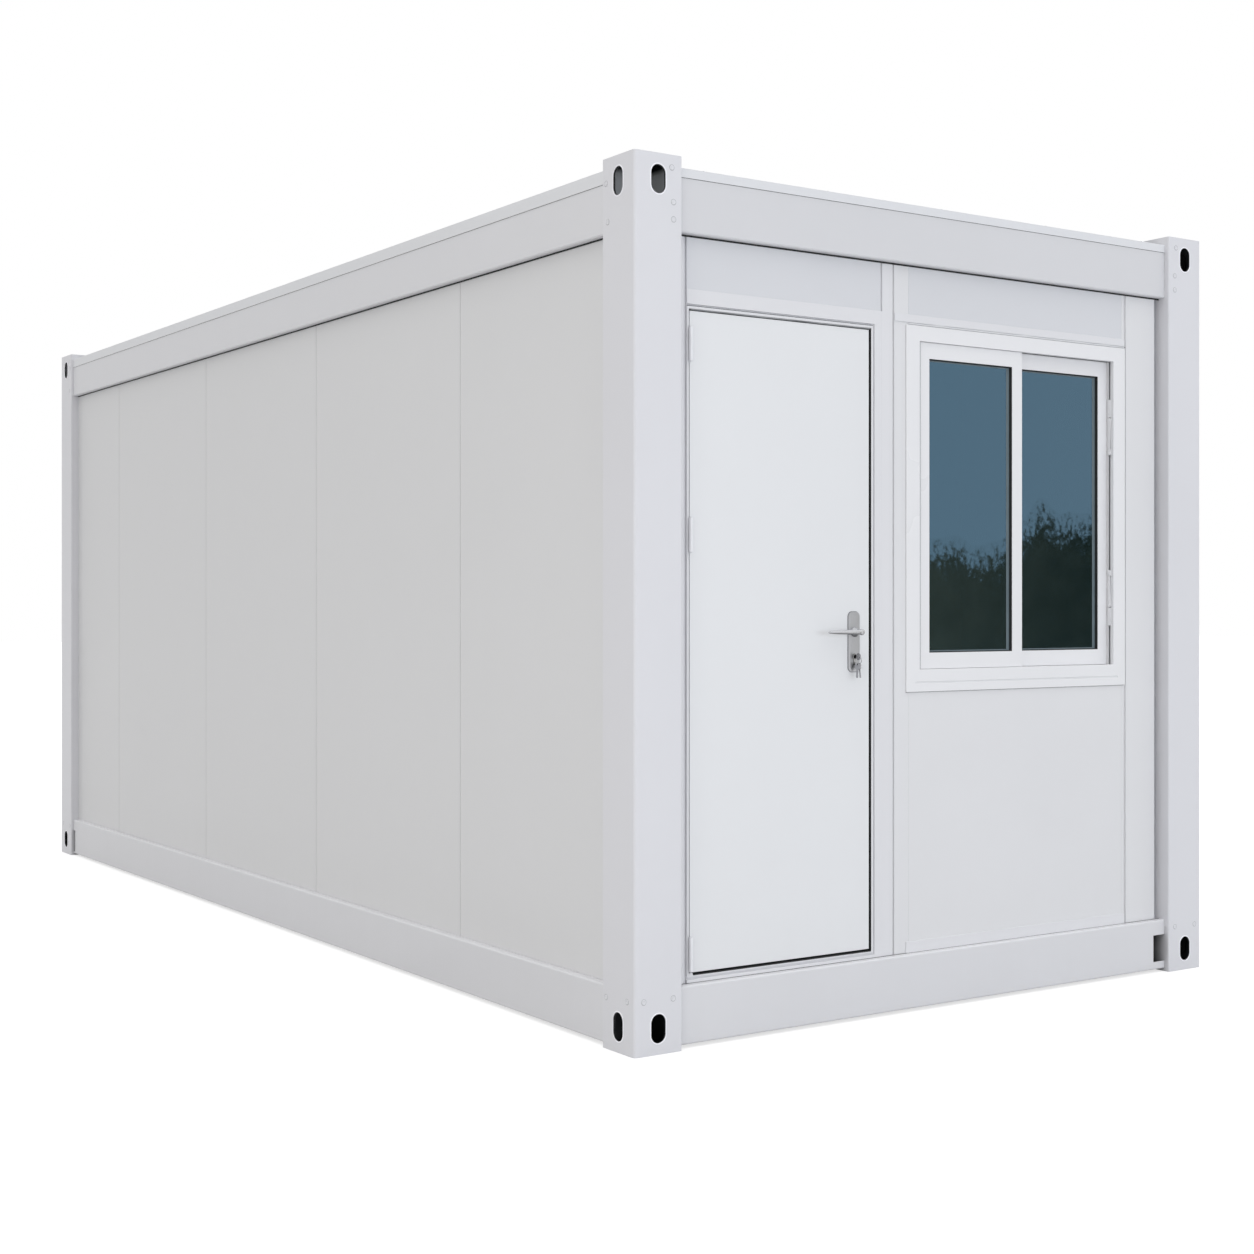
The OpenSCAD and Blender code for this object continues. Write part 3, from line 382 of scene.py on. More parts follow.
def inside_of_fittings(tree, place):
    """A mask, 1 on the inner faces of the hollow corner fittings and on the cut edges of their
    holes, and 0 elsewhere."""
    low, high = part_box("base_fitting_front_left")
    size = high - low
    half_height = CAD_HIGH.z / 2
    across, along = from_middle(tree, place)
    level = add_node(tree, "ShaderNodeSeparateXYZ", links={0: place})
    middle = add_node(tree, "ShaderNodeMath", {"operation": "SUBTRACT", 1: half_height},
                      {0: level.outputs["Z"]})
    height = add_node(tree, "ShaderNodeMath", {"operation": "ABSOLUTE"}, {0: middle.outputs[0]})
    # Each span: what is measured, the house's outer face, and how far behind it the mask begins
    # and ends. It begins just behind a cut edge's brink, and ends short of the far plate.
    brink, plate = 0.0012, 0.0075
    spans = ((across, CAD_HIGH.x, brink, size.x - plate),
             (along, CAD_HIGH.y, brink, size.y - plate),
             (height.outputs[0], half_height, plate, size.z - plate))
    # The outer corner's rounding is left out: it lies less than 20 mm behind both faces together
    both = add_node(tree, "ShaderNodeMath", {"operation": "ADD"}, {0: across, 1: along})
    mask = add_node(tree, "ShaderNodeMath",
                    {"operation": "LESS_THAN", 1: CAD_HIGH.x + CAD_HIGH.y - 0.02},
                    {0: both.outputs[0]}).outputs[0]
    for socket, face, near, far in spans:
        # COMPARE gives 1 within the third value of the second
        within = add_node(tree, "ShaderNodeMath",
                          {"operation": "COMPARE", 1: face - (near + far) / 2,
                           2: (far - near) / 2}, {0: socket})
        mask = add_node(tree, "ShaderNodeMath", {"operation": "MULTIPLY"},
                        {0: mask, 1: within.outputs[0]}).outputs[0]
    return mask


def sprayed_enamel(name, colour, dust, primer_and_shade=None):
    """Polyurethane enamel, sprayed on cold-formed steel: satin, with an orange peel of about
    5 mm. Inside the fittings, painted shade and primer take its place."""
    return paint_film(name, colour, roughness=0.40, peel_size=0.005, peel_depth=0.00004,
                      drift=0.012, dust=dust, primer_and_shade=primer_and_shade)


def coil_coating(colour):
    """Polyester coil coating, rolled on steel sheet before folding: even and a little duller,
    with a grain of about 1.5 mm drawn at 3 mm so that it shows."""
    return paint_film("Coil-coated steel " + colour_tag(colour), colour, roughness=0.46,
                      peel_size=0.003, peel_depth=0.00002, drift=0.012, dust=0.05)


def powder_coating(name, colour, roughness):
    """Polyester powder, baked on steel or aluminium: smooth satin, soft 3 mm orange peel."""
    return paint_film(name, colour, roughness, peel_size=0.003, peel_depth=0.00003, drift=0.006,
                      dust=0.05)


def colour_tag(colour):
    """Names a shade, so that each coil coating has its own material name."""
    return "%02X%02X%02X" % tuple(int(round(255 * channel)) for channel in colour[:3])


def coated_float_glass(colours):
    """Blue-grey float glass with a reflective rutile coat. The coat raises the index from the
    1.52 of glass to about 2.8 and throws back bluish light; the rollers leave a slow wave."""
    material, tree, shader, place = new_finish("Coated float glass", {
        "Base Color": rgba(colours.glass_body), "Roughness": 0.012, "IOR": 2.85,
        "Specular IOR Level": 1.0, "Specular Tint": rgba(colours.glass_coat),
        "Transmission Weight": 1.0})
    # Waves of 250 mm
    wave = add_node(tree, "ShaderNodeTexNoise", {"Scale": 4.0, "Detail": 0.0}, {"Vector": place})
    rolled = add_node(tree, "ShaderNodeBump", {"Strength": 1.0, "Distance": 0.00035},
                      {"Height": wave.outputs["Fac"]})
    tree.links.new(rolled.outputs[0], shader.inputs["Normal"])
    return material


def dull_compound(name, colour, bloom_colour, roughness, patch):
    """A soft or moulded compound: even and dull, with a bloom in slow patches and a fine grain."""
    material, tree, shader, place = new_finish(name, {"Metallic": 0.0, "IOR": 1.5,
                                                      "Roughness": roughness})
    bloom = add_node(tree, "ShaderNodeTexNoise", {"Scale": 1 / patch, "Detail": 5.0},
                     {"Vector": place})
    tone = add_node(tree, "ShaderNodeMix",
                    {"data_type": "RGBA", FIRST: rgba(colour), SECOND: rgba(bloom_colour)},
                    {FACTOR: bloom.outputs["Fac"]})
    # A grain of 1.1 mm, coarser than the real one so that it shows
    grain = add_node(tree, "ShaderNodeTexNoise", {"Scale": 900.0, "Detail": 1.0},
                     {"Vector": place})
    relief = add_node(tree, "ShaderNodeBump", {"Strength": 1.0, "Distance": 0.00002},
                      {"Height": grain.outputs["Fac"]})
    tree.links.new(tone.outputs[MIXED], shader.inputs["Base Color"])
    tree.links.new(relief.outputs[0], shader.inputs["Normal"])
    return material


def extruded_rubber(colour):
    """EPDM rubber, extruded: near black and dull, with a grey bloom in patches of 110 mm."""
    return dull_compound("EPDM rubber", colour, linear("#1E2022"),
                         roughness=0.72, patch=0.11)


def weld_rim_shade():
    """Painted shade in the shallow rim where enamel meets a weld or a joint: grey and dull, with
    paler patches.
    """
    return dull_compound("Weld rim shade", linear("#939598"), linear("#CFD0D2"),
                         roughness=0.9, patch=0.008)


def moulded_cap_plastic():
    """Black polypropylene, injection moulded: satin, a little paler where it was stressed."""
    return dull_compound("Polypropylene", linear("#0A0B0C"), linear("#121315"),
                         roughness=0.75, patch=0.02)


def silicone_sealant(colour):
    """White silicone, tooled by hand: smooth and soft looking, with dust in its hollows."""
    return dull_compound("Silicone sealant", colour, rgba(colour, 0.86),
                         roughness=0.5, patch=0.03)


def joint_shade_sealant(colours):
    """The same silicone in a thin joint, painted nearly black as shade in the joint."""
    return silicone_sealant(rgba(colours.seal_rubber, 4))


def butyl_tape():
    """Grey butyl glazing tape, pressed on: satin, slightly mottled."""
    return dull_compound("Butyl tape", linear("#58666C"), linear("#6A787E"),
                         roughness=0.5, patch=0.05)


def pile_weatherstrip():
    """Grey polypropylene pile, woven and siliconised: matt, dark between its tufts."""
    return dull_compound("Pile weatherstrip", linear("#3E4044"), linear("#56585C"),
                         roughness=0.9, patch=0.004)


def brushed_metal(name, colour, roughness, grain, along, underside_shade=0.0):
    """Plated metal, brushed along one way: fine streaks in its gloss and its relief. Painted
    shade darkens the faces that turn downwards."""
    material, tree, shader, place = new_finish(name, {"Metallic": 1.0})
    # Each streak is 30 times as long as it is wide
    stretch = add_node(tree, "ShaderNodeMapping",
                       {"Scale": tuple(1 / (grain * (30 if axis == along else 1))
                                       for axis in (X, Y, Z))}, {"Vector": place})
    streaks = add_node(tree, "ShaderNodeTexNoise", {"Scale": 1.0, "Detail": 3.0},
                       {"Vector": stretch.outputs[0]})
    tone = add_node(tree, "ShaderNodeMix",
                    {"data_type": "RGBA", FIRST: rgba(colour, 0.88), SECOND: rgba(colour, 1.06)},
                    {FACTOR: streaks.outputs["Fac"]})
    # Painted shade on the faces that turn downwards, as strong as underside_shade
    facing = add_node(tree, "ShaderNodeSeparateXYZ",
                      links={0: add_node(tree, "ShaderNodeTexCoord").outputs["Normal"]})
    downward_shade = add_node(tree, "ShaderNodeMapRange",
                       {"From Min": 0.12, "From Max": -0.4, "To Min": 0.0, "To Max": underside_shade},
                       {"Value": facing.outputs["Z"]})
    shaded_underside = add_node(tree, "ShaderNodeMix", {"data_type": "RGBA", SECOND: rgba(colour, 0.16)},
                       {FACTOR: downward_shade.outputs[0], FIRST: tone.outputs[MIXED]})
    gloss = add_node(tree, "ShaderNodeMapRange",
                     {"To Min": roughness - 0.06, "To Max": roughness + 0.08},
                     {"Value": streaks.outputs["Fac"]})
    relief = add_node(tree, "ShaderNodeBump", {"Strength": 1.0, "Distance": 0.00001},
                      {"Height": streaks.outputs["Fac"]})
    tree.links.new(shaded_underside.outputs[MIXED], shader.inputs["Base Color"])
    tree.links.new(gloss.outputs[0], shader.inputs["Roughness"])
    tree.links.new(relief.outputs[0], shader.inputs["Normal"])
    return material


def zinc_coated_steel(name, colour, roughness, spangle):
    """Hot-dip zinc coating: frost-like crystals, the spangle, each of its own tone and gloss."""
    material, tree, shader, place = new_finish(name, {"Metallic": 1.0})
    cells = add_node(tree, "ShaderNodeTexVoronoi", {"Scale": 1 / spangle, "Randomness": 1.0},
                     {"Vector": place})
    grey = add_node(tree, "ShaderNodeSeparateColor", links={0: cells.outputs["Color"]})
    tone = add_node(tree, "ShaderNodeMix",
                    {"data_type": "RGBA", FIRST: rgba(colour, 0.84), SECOND: rgba(colour, 1.05)},
                    {FACTOR: grey.outputs[0]})
    gloss = add_node(tree, "ShaderNodeMapRange",
                     {"To Min": roughness - 0.08, "To Max": roughness + 0.1},
                     {"Value": grey.outputs[1]})
    tree.links.new(tone.outputs[MIXED], shader.inputs["Base Color"])
    tree.links.new(gloss.outputs[0], shader.inputs["Roughness"])
    return material


def chip_vinyl(colour):
    """Homogeneous vinyl sheet, pressed from chips: small paler and darker flecks, satin."""
    material, tree, shader, place = new_finish("Chip vinyl", {"Metallic": 0.0, "IOR": 1.5,
                                                             "Roughness": 0.42})
    # Chips of 9 mm
    chips = add_node(tree, "ShaderNodeTexVoronoi", {"Scale": 1 / 0.009}, {"Vector": place})
    grey = add_node(tree, "ShaderNodeSeparateColor", links={0: chips.outputs["Color"]})
    fleck = add_node(tree, "ShaderNodeMapRange", {"From Min": 0.55, "From Max": 1.0},
                     {"Value": grey.outputs[0]})
    tone = add_node(tree, "ShaderNodeMix",
                    {"data_type": "RGBA", FIRST: rgba(colour, 0.86), SECOND: rgba(colour, 1.3)},
                    {FACTOR: fleck.outputs[0]})
    tree.links.new(tone.outputs[MIXED], shader.inputs["Base Color"])
    return material


# ---------------------------------------------------------------- shapes

def clear_old(name):
    """Removes what an earlier run of the same button left behind."""
    old = bpy.data.objects.get(name)
    if old is not None:
        bpy.data.objects.remove(old)


def add_object(name, bm, material):
    """Turns what was drawn into an object of the scene with one material."""
    clear_old(name)
    mesh = bpy.data.meshes.new(name)
    bm.to_mesh(mesh)
    bm.free()
    mesh.materials.append(material)
    thing = bpy.data.objects.new(name, mesh)
    bpy.context.scene.collection.objects.link(thing)
    return thing


def add_piece(name, bm, material, body, sharp=35):
    """Closes a mesh into a piece that rides on a body of the cabin. Folds of more than sharp
    degrees stay crisp."""
    bmesh.ops.remove_doubles(bm, verts=bm.verts, dist=0.000001)
    bmesh.ops.recalc_face_normals(bm, faces=bm.faces)
    piece = add_object(name, bm, material)
    piece.data.shade_smooth()
    piece.data.set_sharp_from_angle(angle=math.radians(sharp))
    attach(piece, body)
    return piece


def add_blocks(name, blocks, material, body="cabin"):
    """A piece of rounded blocks, each with its two corners, its rounding and its segments."""
    bm = bmesh.new()
    for block in blocks:
        rounded_block(bm, *block)
    return add_piece(name, bm, material, body)


def coat_node(node, material, edge=0.0, segments=2, whole=False):
    """Paints a CAD solid, and rounds its cut edges the way folding and paint do. whole joins
    the triangles of its flat faces first, for a face that a bore splits into slivers."""
    solid = frame["nodes"][node]
    solid.data.materials.clear()
    solid.data.materials.append(material)
    if edge and "Rounded edges" not in solid.modifiers:
        weld = solid.modifiers.new("Joined corners", "WELD")
        weld.merge_threshold = 0.00001
        if whole:
            flat = solid.modifiers.new("Whole faces", "DECIMATE")
            flat.decimate_type = "DISSOLVE"
            flat.angle_limit = math.radians(0.5)
        edges = solid.modifiers.new("Rounded edges", "BEVEL")
        edges.width = edge
        edges.segments = segments
        edges.limit_method = "ANGLE"
        edges.angle_limit = math.radians(40)
        edges.use_clamp_overlap = True
        edges.miter_outer = "MITER_ARC"
        shade = solid.modifiers.new("Even shading", "WEIGHTED_NORMAL")
        shade.mode = "FACE_AREA"
        shade.weight = 60
    return solid


def loft(bm, rings, looped=False):
    """Skins a row of rings that have as many points each. It closes both ends, or runs back to
    the first ring if it is looped."""
    loops = [[bm.verts.new(point) for point in ring] for ring in rings]
    for near, far in zip(loops, loops[1:] + (loops[:1] if looped else [])):
        for i in range(len(near)):
            j = (i + 1) % len(near)
            bm.faces.new((near[i], near[j], far[j], far[i]))
    if not looped:
        bm.faces.new(loops[0][::-1])
        bm.faces.new(loops[-1])


def circle(steps):
    """Points on a circle of radius 1, as (across, up) pairs."""
    return [(math.cos(a), math.sin(a)) for a in (2 * math.pi * i / steps for i in range(steps))]


def lathe(bm, profile, seat, steps=20):
    """Turns a profile of (radius, height) about Z, and sets it in its seat."""
    loft(bm, [[seat @ Vector((r * x, r * y, h)) for x, y in circle(steps)] for r, h in profile])


def rounded_block(bm, low, high, radius, segments=3):
    """A block with rounded edges between two corners."""
    low, high = Vector(low), Vector(high)
    seat = Matrix.Translation((low + high) / 2) @ Matrix.Diagonal((high - low).to_4d())
    made = bmesh.ops.create_cube(bm, size=1.0, matrix=seat)["verts"]
    # A dictionary drops the edges met twice and keeps the order of the others
    edges = dict.fromkeys(edge for vert in made for edge in vert.link_edges)
    bmesh.ops.bevel(bm, geom=list(edges), offset=radius, segments=segments, profile=0.5,
                    affect="EDGES", clamp_overlap=True)


def strip_on_side(bm, side, node, bottom, top, thick, clear, radius, segments=1):
    """A strip on the outer face that a node turns to one side of the house, from post to post
    and clear of both."""
    axis = X if side in ("left", "right") else Y
    far = side in ("right", "rear")
    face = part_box(node)[far][axis]
    out = face + (thick if far else -thick)
    reach = -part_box("post_front_left")[1][1 - axis] - clear
    low, high = [0.0, 0.0, bottom], [0.0, 0.0, top]
    low[axis], high[axis] = min(face, out), max(face, out)
    low[1 - axis], high[1 - axis] = -reach, reach
    rounded_block(bm, low, high, radius, segments)


def picture_frame(bm, low, high, section):
    """A mitred frame round an upright opening: each point of the section is how far it lies
    inside the opening's edge, and its depth along Y."""
    loft(bm, [[(x, depth, z) for x, z in (
        (low[0] + inset, low[1] + inset), (high[0] - inset, low[1] + inset),
        (high[0] - inset, high[1] - inset), (low[0] + inset, high[1] - inset))]
              for inset, depth in section], looped=True)


def seat_on(point, normal):
    """Places something drawn upwards from Z = 0 on a face with the given normal."""
    return Matrix.Translation(point) @ Vector(normal).to_track_quat("Z", "Y").to_matrix().to_4x4()


def rounded_outline(width, height, radius, inset=0.0, steps=8):
    """Points of a plate with rounded corners, about its middle, as (across, up) pairs."""
    r = radius - inset
    points = []
    for quarter, (side, end) in enumerate(((1, 1), (-1, 1), (-1, -1), (1, -1))):
        for i in range(steps + 1):
            a = math.pi / 2 * (quarter + i / steps)
            points.append((side * (width / 2 - radius) + r * math.cos(a),
                           end * (height / 2 - radius) + r * math.sin(a)))
    return points


def hexagon_head(bm, seat, width, washer, crown, steps):
    """A hexagon head, width across its flats, on its washer. The washer is a profile to turn,
    and the crown gives the head's share of its width at each height."""
    lathe(bm, washer, seat, steps)
    r = width / math.sqrt(3)
    loft(bm, [[seat @ Vector((r * x * s, r * y * s, h)) for x, y in circle(6)]
              for s, h in crown])


# ---------------------------------------------------------------- frame

class CABIN_OT_frame(bpy.types.Operator):
    """Enamels the posts, fittings, beams and flashings, and adds welds, bolts, caps and seals"""
    bl_idname = "cabin.frame"
    bl_label = "Steel frame"

    def execute(self, context):
        colours, sizes = context.scene.cabin_colours, context.scene.cabin_sizes
        # Inside the fittings, the enamel gives way to painted shade and primer
        enamel = sprayed_enamel("Post enamel", colours.frame_enamel, dust=0.03,
                                primer_and_shade=(colours.painted_inside_shade, colours.hollow_roof))
        # Posts and fittings are welded and ground flush, so no rounding parts them
        for corner in CORNERS:
            coat_node("post_" + corner, enamel)
            for level in ("base", "roof"):
                coat_node(f"{level}_fitting_{corner}", enamel)
        beams = sprayed_enamel("Beam enamel", colours.beam_enamel, dust=0.03)
        # The short roof beams' enamel is made darker
        short_beams = sprayed_enamel("Short roof beam enamel", rgba(colours.beam_enamel, 0.945),
                                     dust=0.03)
        for side in SIDES:
            coat_node("floor_beam_" + side, beams, sizes.frame_edge * 0.6)
            coat_node("roof_beam_" + side, short_beams if side in ("front", "rear") else beams,
                      sizes.frame_edge * 0.6)
        coat_node("roof_flashings", sprayed_enamel("Flashing enamel", colours.flashing, dust=0.0),
                  sizes.frame_edge * 0.3)
        self.plug_welds(enamel, sizes)
        self.hole_rims(colours, sizes)
        self.tie_bolts()
        self.top_seals(colours, sizes)
        self.flashing_seams(colours)
        return {"FINISHED"}

    def plug_welds(self, enamel, sizes):
        """Ground-off plug welds, where each fitting is fixed to its post, and the line of painted
        shade that lies round each of them."""
        welds, edges = bmesh.new(), bmesh.new()
        r = sizes.spot_head / 2
        # Painted shade: a dark grey ring round each weld
        dust = [(r * 1.22, -SINK), (r * 1.22, 0.00012), (r * 0.9, 0.00012)]
        # A raised rim round a dished middle
        head = [(r, -SINK), (r, 0.0004), (r * 0.86, 0.0014), (r * 0.66, 0.0014),
                (r * 0.42, 0.0006), (r * 0.12, 0.0004)]
        # Distance from the outer edge, and level, of those on a short side and on a long one
        short_side = ((0.033, 0.156), (0.136, 0.156), (0.131, 2.554), (0.137, 2.455),
                      (0.137, 2.405))
        long_side = ((0.037, 0.155), (0.147, 0.150), (0.147, 2.518), (0.138, 2.405))
        for across in (-1, 1):
            for along in (-1, 1):
                seats = [seat_on((across * (CAD_HIGH.x - edge), along * CAD_HIGH.y, level),
                                 (0, along, 0)) for edge, level in short_side]
                seats += [seat_on((across * CAD_HIGH.x, along * (CAD_HIGH.y - edge), level),
                                  (across, 0, 0)) for edge, level in long_side]
                for seat in seats:
                    lathe(welds, head, seat)
                    lathe(edges, dust, seat)
        add_piece("plug_welds", welds, enamel, "cabin")
        add_piece("plug_weld_edges", edges, weld_rim_shade(), "cabin")

    def hole_rims(self, colours, sizes):
        """The thick bead of enamel round the fittings' side holes, paler than the posts' as a
        painted highlight, and the black plastic caps that blank the holes of the right-hand faces."""
        rims, caps = bmesh.new(), bmesh.new()
        # Each point: how far inside the hole's edge, and how far proud of the face
        bead = ((0.0001, -0.0009), (0.0001, 0.0003), (-0.0005, 0.0009),
                (-sizes.hole_rim * 0.7, 0.0009), (-sizes.hole_rim, 0.0001),
                (-sizes.hole_rim, -0.0004))
        plug = ((0.0001, -0.0120), (0.0001, -0.0030), (0.0016, -0.0022), (0.0060, -0.0022),
                (0.0080, -0.0030), (0.0160, -0.0030))
        for level in (sizes.hole_level, CAD_HIGH.z - sizes.hole_level):
            for across in (-1, 1):
                for along in (-1, 1):
                    faces = (((across * (CAD_HIGH.x - sizes.hole_aside), along * CAD_HIGH.y,
                               level), (0, along, 0)),
                             ((across * CAD_HIGH.x, along * (CAD_HIGH.y - sizes.hole_aside),
                               level), (across, 0, 0)))
                    for point, normal in faces:
                        seat = seat_on(point, normal)
                        self.round_hole(rims, seat, sizes, bead, looped=True)
                        if normal[0] > 0:
                            self.round_hole(caps, seat, sizes, plug)
        # Painted highlight: the bead's enamel is paler than the posts'
        enamel = powder_coating("Enamel bead", rgba(colours.frame_enamel, 1.3), roughness=0.35)
        add_piece("fitting_hole_rims", rims, enamel, "cabin", sharp=50)
        add_piece("fitting_blanking_caps", caps, moulded_cap_plastic(), "cabin")

    def round_hole(self, bm, seat, sizes, section, looped=False):
        """Skins a section of (inset, height) along the outline of a fitting's side hole."""
        width, height = sizes.hole_width, sizes.hole_height
        loft(bm, [[seat @ Vector((x, y, proud)) for x, y in
                   rounded_outline(width, height, width / 2, inset)]
                  for inset, proud in section], looped=looped)

    def top_seals(self, colours, sizes):
        """Black sponge strips on the walls' faces, close under the roof beams, that also paint the
        dark shade line under them.
        """
        bm = bmesh.new()
        for side, wall in (("left", "left_wall"), ("front", "door_header_panel"),
                           ("right", "right_wall"), ("rear", "rear_wall")):
            beam_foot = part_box("roof_beam_" + side)[0].z
            strip_on_side(bm, side, wall, beam_foot - sizes.top_seal, beam_foot + SINK,
                          thick=0.0022, clear=0.001, radius=0.0006, segments=2)
        add_piece("roof_beam_seals", bm, extruded_rubber(colours.seal_rubber), "cabin")

    def tie_bolts(self):
        """The bolts that tie the floor beams to the posts, behind the notches."""
        zinc = zinc_coated_steel("Zinc-plated bolts", linear("#9DA0A2"),
                                 roughness=0.38, spangle=0.004)
        bm = bmesh.new()
        # Distance of a bolt from the house's outer face, and its level
        depth, level = 0.115, 0.084
        width, height, washer = 0.024, 0.014, 0.016
        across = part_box("base_fitting_front_right")[0].x
        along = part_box("base_fitting_rear_left")[0].y
        for turn in (1, -1):
            for point, normal in (((turn * across, turn * (CAD_LOW.y + depth), level),
                                   (-turn, 0, 0)),
                                  ((turn * (CAD_LOW.x + depth), turn * along, level),
                                   (0, -turn, 0))):
                hexagon_head(bm, seat_on(point, normal), width,
                             [(washer, 0), (washer, 0.25 * height)],
                             ((1, 0.25 * height), (1, 0.9 * height), (0.88, height)),
                             steps=28)
        add_piece("tie_bolts", bm, zinc, "cabin")

    def flashing_seams(self, colours):
        """The dark line of sealant under each flashing's lower edge, painted shade under the edge.
        """
        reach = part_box("roof_flashings")[1]
        corners = [v.co for v in frame["nodes"]["roof_flashings"].data.vertices]
        bm = bmesh.new()
        for side, axis, way in (("left", X, -1), ("front", Y, -1), ("right", X, 1),
                                ("rear", Y, 1)):
            foot = min(c.z for c in corners if way * c[axis] > reach[axis] - 0.003)
            strip_on_side(bm, side, "roof_beam_" + side, foot - 0.0010, foot + 0.0001,
                          thick=0.0008, clear=0.0005, radius=0.0003)
        add_piece("flashing_sealant", bm, joint_shade_sealant(colours), "cabin")


# ---------------------------------------------------------------- walls

class CABIN_OT_walls(bpy.types.Operator):
    """Coats the wall panels, trims and rails, and seals the foot of the front and the rear"""
    bl_idname = "cabin.walls"
    bl_label = "Wall panels"

    def execute(self, context):
        colours, sizes = context.scene.cabin_colours, context.scene.cabin_sizes
        sheet = coil_coating(colours.wall_sheet)
        for node in ("left_wall", "right_wall", "rear_wall"):
            coat_node(node, sheet, sizes.panel_edge * 0.6)
        front_sheet = coil_coating(colours.front_sheet)
        for node in ("window_lower_panel", "front_side_panel", "window_stile_panel"):
            coat_node(node, front_sheet, sizes.panel_edge)
        # The panels over door and window get a darker copy of the front coating
        header_sheet = coil_coating(colours.header_sheet)
        for node in ("door_header_panel", "window_header_panel"):
            coat_node(node, header_sheet, sizes.panel_edge)
        powder = powder_coating("Powder-coated trims", colours.trim_powder, roughness=0.38)
        for node in ("front_edge_trim", "front_mullion", "front_rails"):
            coat_node(node, powder, sizes.panel_edge)
        self.foot_joints(colours)
        return {"FINISHED"}

    def foot_joints(self, colours):
        """The dark line of sealant along the foot of the front and rear walls, painted shade in
        the joint.
        """
        bm = bmesh.new()
        for side, node in (("front", "door_frame"), ("rear", "rear_wall")):
            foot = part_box(node)[0].z
            strip_on_side(bm, side, node, foot - 0.0001, foot + 0.0011, thick=0.0009,
                          clear=0.001, radius=0.0003)
        add_piece("wall_foot_sealant", bm, joint_shade_sealant(colours), "cabin")


# ---------------------------------------------------------------- door

